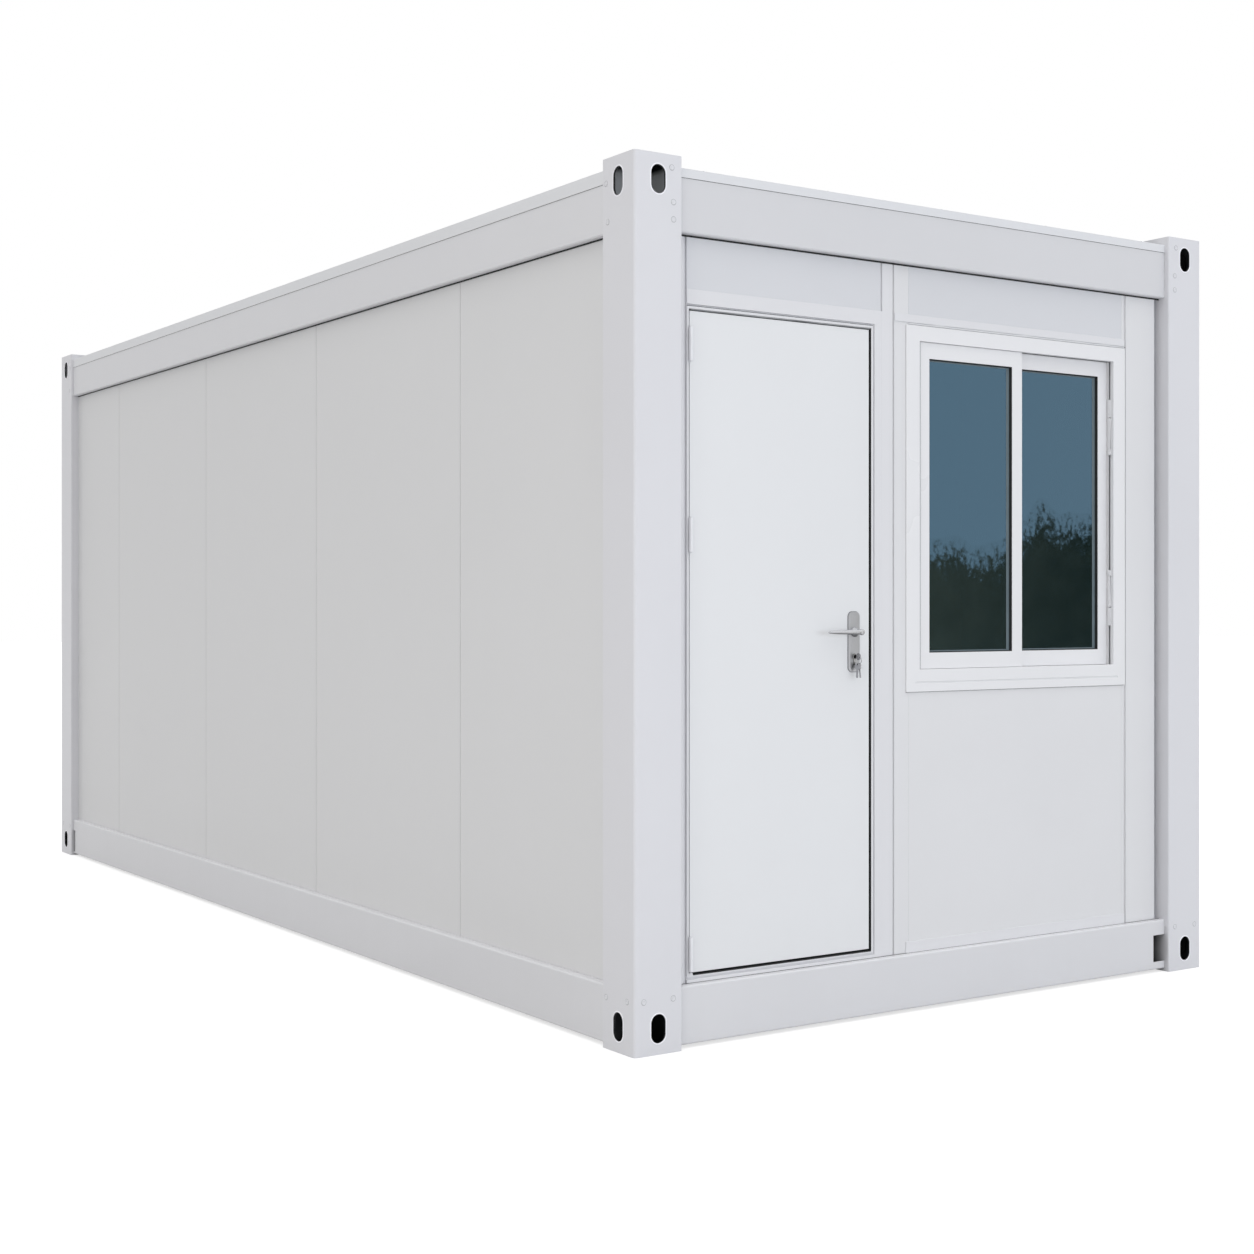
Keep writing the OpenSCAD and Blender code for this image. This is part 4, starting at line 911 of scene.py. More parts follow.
class CABIN_OT_door(bpy.types.Operator):
    """Coats the door and its frame, and adds seals, hinge pins and the lock's face plate"""
    bl_idname = "cabin.door"
    bl_label = "Door"

    def execute(self, context):
        colours, sizes = context.scene.cabin_colours, context.scene.cabin_sizes
        powder = powder_coating("Powder-coated door leaf", colours.door_powder, roughness=0.34)
        frame_powder = powder_coating("Powder-coated door frame", colours.trim_powder,
                                      roughness=0.36)
        coat_node("door_leaf", powder, sizes.door_edge, segments=3, whole=True)
        coat_node("door_frame", frame_powder, sizes.panel_edge)
        # Painted light: the hinges get a paler copy of the trim powder, so that they don't show
        # dark in the shade beside the post
        hinge_powder_painted_light = powder_coating("Powder-coated hinges", rgba(colours.trim_powder, 1.14),
                                      roughness=0.36)
        for node in ("hinge_frame_sides", "hinge_leaf_sides"):
            coat_node(node, hinge_powder_painted_light, edge=0.0004)
        self.seals(colours, sizes, frame_powder)
        self.pin_heads(frame_powder, sizes)
        self.lock_forend()
        return {"FINISHED"}

    def seals(self, colours, sizes, powder):
        """Rubber strips down the lock jamb, along the sill and over the leaf's head, grey sealant
        as painted shade in the groove over the head, and a block that ends the sill seal at the
        hinges."""
        rubber = extruded_rubber(colours.seal_rubber)
        leaf_low, leaf_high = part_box("door_leaf")
        front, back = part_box("door_frame")[0].y, leaf_high.y
        jamb = leaf_high.x + sizes.lock_gap
        sill, head = leaf_low.z - sizes.foot_gap, leaf_high.z + sizes.foot_gap
        # Faces of the strips, and where the sill seal ends at the hinges
        side, foot = jamb - sizes.side_seal, sill + sizes.foot_seal
        side_end, hinge_end = side - 0.0002, leaf_low.x + 0.0090
        # The strip has two ribs that stand a little prouder than the rest
        past, rib, rib_proud, rib_past = 0.0055, 0.003, 0.0005, 0.004
        strip = [((side, front + 0.0012, leaf_low.z - past),
                  (jamb + SINK, back, leaf_high.z + past), 0.0005, 2)]
        for depth in (0.012, 0.03):
            near = leaf_low.y + depth
            strip.append(((side - rib_proud, near, leaf_low.z - rib_past),
                          (jamb - rib_proud, near + rib, leaf_high.z + rib_past), 0.0006, 2))
        add_blocks("lock_side_seal", strip, rubber)
        # The nose of the sill seal laps over the front edge of the sill
        add_blocks("sill_seal", [
            ((hinge_end, front + 0.0022, sill - SINK), (side_end, back, foot), 0.0003, 2),
            ((hinge_end, front - 0.0009, sill - 0.0020), (side_end, front + 0.0026, foot),
             0.0004, 2)], rubber)
        # A pale one, set back over the leaf
        add_blocks("head_lip_seal", [
            ((leaf_low.x + 0.0040, front + 0.0025, head - 0.0032),
             (side_end, back, head + SINK), 0.0004, 1)], extruded_rubber(linear("#C2C4C7")))
        # Painted shade: grey sealant darkens the groove over the head
        groove = head + 0.0075
        add_blocks("head_groove_sealant", [
            ((leaf_low.x - 0.0125, front + 0.0006, groove - 0.0001),
             (jamb + 0.0075, front + 0.0016, groove + 0.0019), 0.0003, 1)],
            silicone_sealant(linear("#6C6E72")))
        add_blocks("sill_corner_block", [
            ((leaf_low.x - 0.0048, front + 0.0008, sill - SINK),
             (hinge_end - 0.0002, front + 0.0080, leaf_low.z - 0.0012), 0.0005, 2)],
            powder, "cabin")

    def pin_heads(self, powder, sizes):
        """Domed heads on both ends of each hinge pin."""
        low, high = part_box("hinge_frame_sides")
        across, depth, _ = frame["joints"][0]["pos_m"]
        r = sizes.hinge_pin / 2
        dome = [(r, -0.0001), (r, 0.0009), (r * 0.86, 0.0018), (r * 0.5, 0.0025),
                (r * 0.1, 0.0027)]
        top, between = high.z - sizes.hinge_length, 0.56
        bm = bmesh.new()
        for foot in (low.z, top, top - between):
            for level, up in ((foot, -1), (foot + sizes.hinge_length, 1)):
                lathe(bm, dome, seat_on((across, depth, level), (0, 0, up)), 18)
        add_piece("hinge_pin_heads", bm, powder, "cabin")

    def lock_forend(self):
        """The lock's face plate on the edge of the leaf, with its latch, bolt and two screws."""
        nickel = brushed_metal("Zinc-plated forend", linear("#A9AAAB"),
                               roughness=0.34, grain=0.0006, along=Z)
        leaf_low, leaf_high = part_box("door_leaf")
        plate_low, plate_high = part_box("handle_plates")
        centre = (plate_low.z + plate_high.z) / 2
        edge, middle = leaf_high.x, (leaf_low.y + leaf_high.y) / 2
        width, height, screw_level = 0.020, 0.235, 0.108
        bm = bmesh.new()
        ring = rounded_outline(width, height, width / 2)
        # Share of its outline, and how far it stands out of the leaf's edge
        loft(bm, [[(edge + proud, middle + x * share, centre + z * share) for x, z in ring]
                  for share, proud in ((1, -0.001), (1, 0.0006), (0.97, 0.001))])
        # Latch above and bolt below: half width, reach, the levels of both ends and rounding
        for half, proud, foot, head, rounding in ((0.006, 0.0022, 0.062, 0.092, 0.0008),
                                                  (0.0055, 0.0015, -0.05, -0.012, 0.0006)):
            rounded_block(bm, (edge, middle - half, centre + foot),
                          (edge + proud, middle + half, centre + head), rounding)
        for level in (-screw_level, screw_level):
            lathe(bm, [(0.0038, 0), (0.0036, 0.0007), (0.0012, 0.0008)],
                  seat_on((edge + 0.001, middle, centre + level), (1, 0, 0)), 16)
        add_piece("lock_forend", bm, nickel, "door")


# ---------------------------------------------------------------- handle, lock and keys

class CABIN_OT_handle(bpy.types.Operator):
    """Builds the lever handles, their plates, the lock cylinder and its keys"""
    bl_idname = "cabin.handle"
    bl_label = "Handle, lock and keys"

    def execute(self, context):
        colours, sizes = context.scene.cabin_colours, context.scene.cabin_sizes
        leaf_low, leaf_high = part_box("door_leaf")
        plate_low, plate_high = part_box("handle_plates")
        self.centre = (plate_low.x + plate_high.x) / 2
        self.faces = ((leaf_low.y, plate_low.y, -1), (leaf_high.y, plate_high.y, 1))
        lever_low, lever_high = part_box("lever_handle")
        lock_low, lock_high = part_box("lock_cylinder")
        self.lock_z = lock_high.z - sizes.lock_round / 2
        nickel = brushed_metal("Satin nickel plates", colours.satin_nickel,
                               roughness=0.34, grain=0.0007, along=Z)
        # The lever's nickel is paler than the plates' as a painted highlight, and its undersides
        # take painted shade
        lever_nickel_painted_light = brushed_metal("Satin nickel lever", rgba(colours.satin_nickel, 1.55),
                                 roughness=0.25, grain=0.0007, along=X, underside_shade=0.92)
        self.plates(nickel, sizes, plate_low, plate_high)
        self.levers(lever_nickel_painted_light, sizes, lever_low, lever_high)
        self.cylinder(sizes, lock_low, lock_high)
        self.keys(sizes, lock_low)
        return {"FINISHED"}

    def plates(self, nickel, sizes, low, high):
        """Long plates with domed edges and two countersunk screws each, on thin dark gaskets
        that peep out round them and paint the shade line round each plate."""
        plates, gaskets = bmesh.new(), bmesh.new()
        width, height = high.x - low.x, high.z - low.z
        level = (low.z + high.z) / 2
        # Each point of a section: how far inside the plate's edge, and how far proud. The
        # plate's are shares of its thickness.
        dome = ((0.0, 0.0), (0.0, 0.42), (0.0009, 0.68), (0.0026, 0.88), (0.0055, 0.98),
                (0.0075, 1.0))
        gasket = ((-0.0009, -0.0003), (-0.0009, 0.0006), (0.0012, 0.0007))
        for face, front, out in self.faces:
            thick = abs(front - face)
            for bm, scale, section in ((plates, thick, dome), (gaskets, 1, gasket)):
                loft(bm, [[(self.centre + x, face + out * scale * proud, level + z)
                           for x, z in rounded_outline(width, height, sizes.plate_corner, inset)]
                          for inset, proud in section])
            for end in (high.z - 0.0135, low.z + 0.0135):
                seat = seat_on((self.centre, front - out * 0.0003, end), (0, out, 0))
                lathe(plates, [(0.0044, 0.0), (0.0043, 0.0006), (0.0036, 0.0010),
                               (0.0015, 0.0011)], seat, 18)
        piece = add_piece("handle_plates_satin", plates, nickel, "door")
        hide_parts("handle_plates")
        add_piece("handle_plate_gaskets", gaskets, extruded_rubber(linear("#4A4B4E")), "door")

    def levers(self, nickel, sizes, low, high):
        """Cast levers: a round neck that runs into a flattened grip with a drawn-out tip."""
        bm = bmesh.new()
        level = high.z - sizes.lever_boss / 2
        neck, grip = sizes.lever_boss / 2, sizes.lever_grip / 2
        reach = self.centre - low.x
        rose = [(0.0160, 0.0045), (0.0160, 0.0090), (0.0148, 0.0108), (0.0118, 0.0150),
                (neck * 0.8, 0.0200)]
        # Stations along the grip: distance from the spindle, half height as a share of the
        # grip's, half thickness, and how far the middle lies below the front
        stations = ((-0.004, 0.55, 0.0040, 0.0062), (-0.001, 0.86, 0.0058, 0.0063),
                    (0.006, 0.98, 0.0066, 0.0067), (0.022, 1.0, 0.0067, 0.0067),
                    (0.06, 0.88, 0.0063, 0.0064), (0.10, 0.74, 0.0056, 0.0060),
                    (0.120, 0.58, 0.0048, 0.0056), (0.131, 0.38, 0.0036, 0.0050),
                    (reach, 0.10, 0.0014, 0.0046))
        for face, _, out in self.faces:
            tip = low.y if out < 0 else high.y
            lift = abs(tip - face)
            seat = seat_on((self.centre, face, level), (0, out, 0))
            lathe(bm, [(neck * 0.82, 0.002), (neck * 0.82, lift - 0.012),
                       (neck * 0.95, lift - 0.008), (neck * 0.96, lift - 0.003),
                       (neck * 0.86, lift - 0.0008), (neck * 0.5, lift)], seat, 28)
            lathe(bm, rose, seat, 32)
            rings = []
            for along, share, half, sunk in stations:
                ring = []
                for c, s in circle(24):
                    # Squared-off ellipse, softer than a box and fuller than an oval
                    swell = (abs(c) ** 3.0 + abs(s) ** 3.0) ** (-1 / 3.0)
                    ring.append((self.centre - along, tip - out * (sunk + half * s * swell),
                                 level + grip * share * c * swell))
                rings.append(ring)
            loft(bm, rings)
        piece = add_piece("lever_handles_cast", bm, nickel, "lever", sharp=50)
        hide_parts("lever_handle")

    def cylinder(self, sizes, low, high):
        """Profile cylinder with chamfered ends, and its plugs and the gaps round them painted near
        black as shade.
        """
        brass = brushed_metal("Nickel-plated brass", linear("#A9A9A8"),
                              roughness=0.26, grain=0.0005, along=Y)
        # Painted shade: the plugs are near black, as in the shade of the key's bow
        plug_shade = brushed_metal("Plug in painted shade", linear("#1C1C1E"),
                                  roughness=0.4, grain=0.0005, along=Y)
        ends = ((low.y, -1), (high.y, 1))
        r, web = sizes.lock_round / 2, sizes.lock_web / 2
        foot = high.z - low.z - r
        # The profile: a round part from side to side of the web, and the web's rounded foot
        start, steps = math.asin(web / r), 26
        outline = [(r * math.sin(a), r * math.cos(a)) for a in
                   (math.pi - start - (2 * math.pi - 2 * start) * i / steps
                    for i in range(steps + 1))]
        outline += [(-web, -foot + web * 0.6), (-web * 0.7, -foot + web * 0.15),
                    (0, -foot), (web * 0.7, -foot + web * 0.15), (web, -foot + web * 0.6)]
        bm = bmesh.new()
        loft(bm, [[(self.centre + x * s, y, self.lock_z + z * s) for x, z in outline]
                  for s, y in ((0.93, low.y), (1.0, low.y + 0.0006), (1.0, high.y - 0.0006),
                               (0.93, high.y))])
        piece = add_piece("lock_cylinder_profile", bm, brass, "door")
        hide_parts("lock_cylinder")
        bm = bmesh.new()
        for y, out in ends:
            lathe(bm, [(0.0066, -0.0005), (0.0066, 0.0003), (0.0062, 0.0005)],
                  seat_on((self.centre, y, self.lock_z), (0, out, 0)), 24)
        add_piece("lock_plug", bm, plug_shade, "door")
        bm = bmesh.new()
        # Black rubber as painted shade in the gap between cylinder and plate, and as a keyway in
        # each plug
        for _, front, out in self.faces:
            loft(bm, [[(self.centre + x * s, front + out * lift, self.lock_z + z * s)
                       for x, z in outline]
                      for s, lift in ((1.09, -0.0004), (1.09, 0.0001), (1.02, 0.0002))])
        half_wide, half_tall = 0.0011, 0.0042
        for y, out in ends:
            edge = y + out * 0.0006
            rounded_block(bm, (self.centre - half_wide, min(y, edge), self.lock_z - half_tall),
                          (self.centre + half_wide, max(y, edge), self.lock_z + half_tall),
                          0.0002, 1)
        add_piece("lock_keyways", bm, extruded_rubber(linear("#0B0B0C")), "door")

    def keys(self, sizes, lock_low):
        """One key in the lock, and two that hang edge-on from its ring."""
        steel = brushed_metal("Nickel-plated keys", linear("#A9A9AC"),
                              roughness=0.2, grain=0.0005, along=Z)
        bow, thick = sizes.key_bow / 2, sizes.key_sheet / 2
        wire = 0.001
        ring_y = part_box("keys")[0].y + bow
        ring_r = sizes.key_ring / 2 - wire
        ring_z = self.lock_z - ring_r
        # A hanging key's hole lies 5.2 mm under its bow's edge
        hole_up, hang = bow - 0.0052, ring_z - ring_r
        bm = bmesh.new()
        self.key(bm, Matrix.Translation((self.centre, ring_y, self.lock_z))
                 @ Matrix.Rotation(math.radians(90), 4, "X"), bow, thick, lock_low.y - ring_y, 0.0)
        for aside, swing, fan in ((-0.0030, 12, 4.5), (0.0030, -14, -5.5)):
            seat = (Matrix.Translation((self.centre + aside, ring_y, hang))
                    @ Matrix.Rotation(math.radians(swing), 4, "Z")
                    @ Matrix.Rotation(math.radians(fan), 4, "Y")
                    @ Matrix.Translation((0, 0, -hole_up)))
            self.key(bm, seat, bow, thick * 0.9, 0.0365, hole_up)
        loops = []
        for up, across in circle(36):
            middle = Vector((self.centre + ring_r * across, ring_y, ring_z + ring_r * up))
            outward = Vector((across, 0, up))
            loops.append([middle + wire * (outward * x + Vector((0, 1, 0)) * y)
                          for x, y in circle(10)])
        loft(bm, loops, looped=True)
        piece = add_piece("keys_on_ring", bm, steel, "door")
        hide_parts("keys")

    def key(self, bm, seat, bow, thick, reach, hole_up):
        """A flat key in the YZ plane, its bow at the origin and its blade down to -reach."""
        hole = 0.0029
        outer = [(bow * 1.02 * x, bow * 0.94 * y) for x, y in circle(28)]
        inner = [(hole * x, hole_up + hole * y) for x, y in circle(28)]
        loft(bm, [[seat @ Vector((side * thick, y, z)) for y, z in loop]
                  for loop, side in ((inner, -1), (outer, -1), (outer, 1), (inner, 1))],
             looped=True)
        # The blade is 7.6 mm wide and has six cuts of 0.4 to 2.4 mm
        half, shoulder, count = 0.0038, -bow * 0.8, 6
        cuts = random.Random(bpy.context.scene.cabin_stage.seed + int(reach * 1e6))
        blade = [(-half, shoulder)]
        start, end = shoulder - 0.004, -reach + 0.004
        for i in range(count):
            z = start + (end - start) * i / (count - 1)
            blade.append((-half + cuts.uniform(0.0004, 0.0024), z))
            blade.append((-half + 0.0002, z - abs(end - start) / (count * 2)))
        blade += [(-half * 0.3, -reach), (half * 0.5, -reach), (half, -reach + 0.003),
                  (half, shoulder)]
        loft(bm, [[seat @ Vector((side * thick * 0.86, y, z)) for y, z in blade]
                  for side in (-1, 1)])


# ---------------------------------------------------------------- window

class CABIN_OT_window(bpy.types.Operator):
    """Coats the window, glazes it, and adds gaskets, sealant, pile strips and catches"""
    bl_idname = "cabin.window"
    bl_label = "Window"

    def execute(self, context):
        colours, sizes = context.scene.cabin_colours, context.scene.cabin_sizes
        powder = powder_coating("Powder-coated aluminium", colours.window_powder, roughness=0.30)
        coat_node("window_frame", powder, sizes.profile_edge)
        coat_node("window_sashes", powder, sizes.profile_edge)
        coat_node("window_panes", coated_float_glass(colours))
        self.gaskets(colours, sizes)
        self.sealant_bead(context, colours, sizes)
        self.pile_and_shade_strips(colours, sizes)
        self.catches(powder, sizes)
        return {"FINISHED"}

    def sash_openings(self, sizes):
        """Low and high corner of the glass seen in each sash, outer sash first."""
        low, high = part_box("window_panes")
        seen = sizes.pane_edge
        corners = [v.co for v in frame["nodes"]["window_panes"].data.vertices]
        # Front and back of the outer pane come first, and then those of the inner one
        depths = sorted({round(c.y, 5) for c in corners})
        rows = []
        for depth in (depths[0], depths[2]):
            xs = [c.x for c in corners if abs(c.y - depth) < 1e-4]
            rows.append(((min(xs) + seen, low.z + seen), (max(xs) - seen, high.z - seen), depth))
        return rows

    def gaskets(self, colours, sizes):
        """Rubber gaskets, pressed between each pane and its sash on both sides, and grey butyl
        tape beside them: a hairline all round, and wide down the right side."""
        gaskets, tape = bmesh.new(), bmesh.new()
        lip, proud = sizes.gasket_lip, sizes.gasket_depth
        for low, high, face in self.sash_openings(sizes):
            picture_frame(gaskets, low, high,
                          [(-SINK, face + 0.0001), (-SINK, face - proud),
                           (lip * 0.3, face - proud), (lip * 0.75, face - proud * 0.45),
                           (lip, face - 0.0006), (lip, face + 0.0001)])
            back = face + 0.005
            picture_frame(gaskets, low, high,
                          [(-SINK, back - 0.0001), (-SINK, back + 0.0022),
                           (lip * 0.6, back + 0.0022), (lip, back + 0.0008),
                           (lip, back - 0.0001)])
            picture_frame(tape, low, high,
                          [(lip - 0.0004, face + 0.0001), (lip - 0.0004, face - 0.0005),
                           (lip + 0.0034, face - 0.0005), (lip + 0.0038, face + 0.0001)])
            rounded_block(tape, (high[0] - lip - sizes.tape_width, face - 0.0006, low[1] + lip),
                          (high[0] - lip + 0.0004, face + 0.0001, high[1] - lip), 0.0002, 1)
        rubber = extruded_rubber(colours.seal_rubber)
        add_piece("glazing_gaskets", gaskets, rubber, "cabin", sharp=20)
        add_piece("glazing_tape", tape, butyl_tape(), "cabin")

    def sealant_bead(self, context, colours, sizes):
        """The hand-drawn bead in the gap over the window: uneven, and ended with a blob."""
        rng = random.Random(context.scene.cabin_stage.seed + 3)
        low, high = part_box("window_frame")
        middle = high.z + sizes.bead_gap / 2
        start, end = low.x + 0.006, high.x + 0.002
        count, clear, sunk = 150, 0.0010, 0.0036
        # Thin at its start, swollen at its end where the gun was lifted off
        thin_share, thickening, blob_long, blob_up = 0.35, 40, 0.014, 0.0012
        # Waves of the hand that led the gun: radians per metre, start and size
        waves = [(rng.uniform(9, 70), rng.uniform(0, 6.28), rng.uniform(0.00015, 0.0004))
                 for _ in range(8)]
        rings = []
        for i in range(count + 1):
            x = start + (end - start) * i / count
            wander = sum(size * math.sin(rate * x + turn) for rate, turn, size in waves)
            r = sizes.bead_gap / 2 - clear + 0.6 * wander
            r *= min(1.0, thin_share + thickening * (x - start))
            r += blob_up * max(0.0, 1 - (end - x) / blob_long)
            if i == count:
                r *= 0.5
            rings.append([(x, low.y + sunk - r * out, middle + 0.5 * wander + r * up)
                          for up, out in circle(12)])
        bm = bmesh.new()
        loft(bm, rings)
        add_piece("window_sealant_bead", bm, silicone_sealant(colours.bead), "cabin", sharp=60)
        # Painted shade: a black dome stands in for the dark of a pinhole at the bead's end
        bm = bmesh.new()
        lathe(bm, [(0.0016, 0), (0.0015, 0.0005), (0.0008, 0.0008)],
              seat_on((end - 0.004, low.y - 0.0012, middle - 0.0004), (0, -1, 0)), 12)
        add_piece("sealant_pinhole", bm, extruded_rubber(colours.seal_rubber), "cabin")

    def pile_and_shade_strips(self, colours, sizes):
        """Pile weatherstrips on the frame, close before the inner sash, dark to paint the shade
        lines in the reveals, and dark sealant as painted shade under the foot of the frame's
        flange."""
        low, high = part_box("window_frame")
        sashes_low, sashes_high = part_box("window_sashes")
        play = 0.0008
        jamb, head = sashes_high.x + play, sashes_high.z + play
        back = self.inner_sash_face() - 0.009
        front = back - sizes.pile_width
        centre, edge = (low.x + high.x) / 2, sashes_low.x - play
        # The strips are dark as painted shade in the jamb's and head's reveals
        # The third one peeps out beyond the lip of the frame, before the front sash
        add_blocks("window_pile_strips", [
            ((jamb - 0.0015, front, sashes_low.z), (jamb + 0.0004, back, head), 0.0006, 1),
            ((centre + 0.016, front, head - 0.0015), (jamb, back, head + 0.0004), 0.0006, 1),
            ((edge - 0.0004, low.y - 0.0003, sashes_low.z - play),
             (edge + 0.0009, low.y + 0.0020, head), 0.0003, 1)], pile_weatherstrip())
        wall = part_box("window_lower_panel")[0].y
        add_blocks("window_foot_sealant", [
            ((low.x + 0.0010, wall - 0.0012, low.z - 0.0013),
             (high.x - 0.0010, wall + 0.0004, low.z + SINK), 0.0004, 1)],
            joint_shade_sealant(colours))

    def inner_sash_face(self):
        """Depth of the front face of the sash that runs behind."""
        depths = sorted({round(v.co.y, 5) for v in frame["nodes"]["window_sashes"].data.vertices
                         if v.co.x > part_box("window_sashes")[1].x - 0.01})
        return depths[0]

    def catches(self, powder, sizes):
        """Snap catches on the free jamb: a plate, a tapered arm on its pivot, its knob and the
        keeper behind the knob."""
        low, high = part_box("window_catches")
        bm = bmesh.new()
        half = sizes.catch_length / 2
        plate_long, plate_thick, screw_in = 0.062, 0.0034, 0.011
        knob_long, knob_half, keeper_thick, keeper_past = 0.014, 0.0058, 0.0022, 0.003
        screw = [(0.0034, 0), (0.0032, 0.0007), (0.0012, 0.0009)]
        boss = [(0.0065, 0), (0.0065, 0.0036), (0.0052, 0.0048), (0.0016, 0.005)]
        # Stations along the arm: share of its length, half breadth and thickness
        stations = ((0.0, 0.0062, 0.0030), (0.5, 0.0050, 0.0026), (1.0, 0.0036, 0.0020))
        # Outline of the arm's section: shares of its thickness and of its half breadth
        section = ((0.0, -1.0), (0.7, -1.0), (1.0, -0.7), (1.0, 0.7), (0.7, 1.0), (0.0, 1.0))
        mid_y, wide = (low.y + high.y) / 2, (high.y - low.y) / 2
        face = high.x - plate_thick
        for middle, up in ((low.z + half, -1), (high.z - half, 1)):
            foot, head = middle + up * half, middle + up * (half - plate_long)
            rounded_block(bm, (face, mid_y - wide, min(foot, head)),
                          (high.x, mid_y + wide, max(foot, head)), 0.0012)
            for level in (foot - up * screw_in, head + up * screw_in):
                lathe(bm, screw, seat_on((face, mid_y, level), (-1, 0, 0)), 14)
            pivot, tip = head - up * 0.008, middle - up * half
            knob = tip + up * knob_long
            lathe(bm, boss, seat_on((high.x - 0.0003, mid_y, pivot), (-1, 0, 0)), 20)
            loft(bm, [[(high.x - 0.0006 - thick * out, mid_y + breadth * aside,
                        pivot + (knob - pivot) * share) for out, aside in section]
                      for share, breadth, thick in stations])
            rounded_block(bm, (low.x, mid_y - knob_half, min(tip, knob)),
                          (high.x - 0.0002, mid_y + knob_half, max(tip, knob)), 0.0016)
            # The keeper is screwed to the jamb
            rounded_block(bm, (high.x - keeper_thick, mid_y - wide, min(tip, knob) - keeper_past),
                          (high.x, mid_y + wide, max(tip, knob) + keeper_past), 0.0008)
        piece = add_piece("window_snap_catches", bm, powder, "cabin")
        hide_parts("window_catches")


# ---------------------------------------------------------------- roof and floor

class CABIN_OT_roof_and_floor(bpy.types.Operator):
    """Finishes the roof sheet, joists, ceiling and floor, and screws the flashings down"""
    bl_idname = "cabin.roof_and_floor"
    bl_label = "Roof and floor"

    def execute(self, context):
        colours, sizes = context.scene.cabin_colours, context.scene.cabin_sizes
        roof = zinc_coated_steel("Aluminium-zinc roof sheet", colours.roof_zinc,
                                 roughness=0.42, spangle=0.006)
        zinc = zinc_coated_steel("Galvanised joists", linear("#A8ABAD"),
                                 roughness=0.48, spangle=0.014)
        coat_node("roof_sheet", roof, edge=0.0008)
        for node in ("roof_joists", "floor_joists"):
            coat_node(node, zinc)
        coat_node("ceiling", powder_coating("Powder-coated ceiling", colours.trim_powder,
                                            roughness=0.42))
        coat_node("floor_deck", chip_vinyl(colours.floor_vinyl))
        self.flashing_screws(sizes)
        return {"FINISHED"}

    def flashing_screws(self, sizes):
        """Self-drilling screws with rubber-faced washers, down through the flashing."""
        steel = zinc_coated_steel("Zinc-plated screws", linear("#A3A6A8"),
                                  roughness=0.36, spangle=0.003)
        bm = bmesh.new()
        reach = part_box("roof_flashings")[1]
        head, tall, flange = sizes.roof_screw, 0.0055, sizes.roof_screw * 0.82
        washer = [(flange, 0), (flange, 0.25 * tall), (flange * 0.8, 0.42 * tall)]
        crown = ((1, 0.3 * tall), (1, 0.86 * tall), (0.9, tall))
        # The flashings' tops begin 12 mm behind the posts' faces on the long sides and 20 mm on
        # the short ones. The rows lie 19 mm further in and end 260 mm short of the corners.
        inset, short = 0.019, 0.26
        long_x = CAD_HIGH.x - 0.012 - inset
        short_y = CAD_HIGH.y - 0.020 - inset
        for turn in (-1, 1):
            for limit, place in ((reach.y - short, lambda s: (turn * long_x, s, reach.z)),
                                 (reach.x - short, lambda s: (s, turn * short_y, reach.z))):
                count = max(2, int(2 * limit / sizes.screw_pitch))
                for i in range(count + 1):
                    seat = seat_on(place(-limit + 2 * limit * i / count), (0, 0, 1))
                    hexagon_head(bm, seat, head, washer, crown, steps=20)
        add_piece("flashing_screws", bm, steel, "cabin")


# ---------------------------------------------------------------- stage

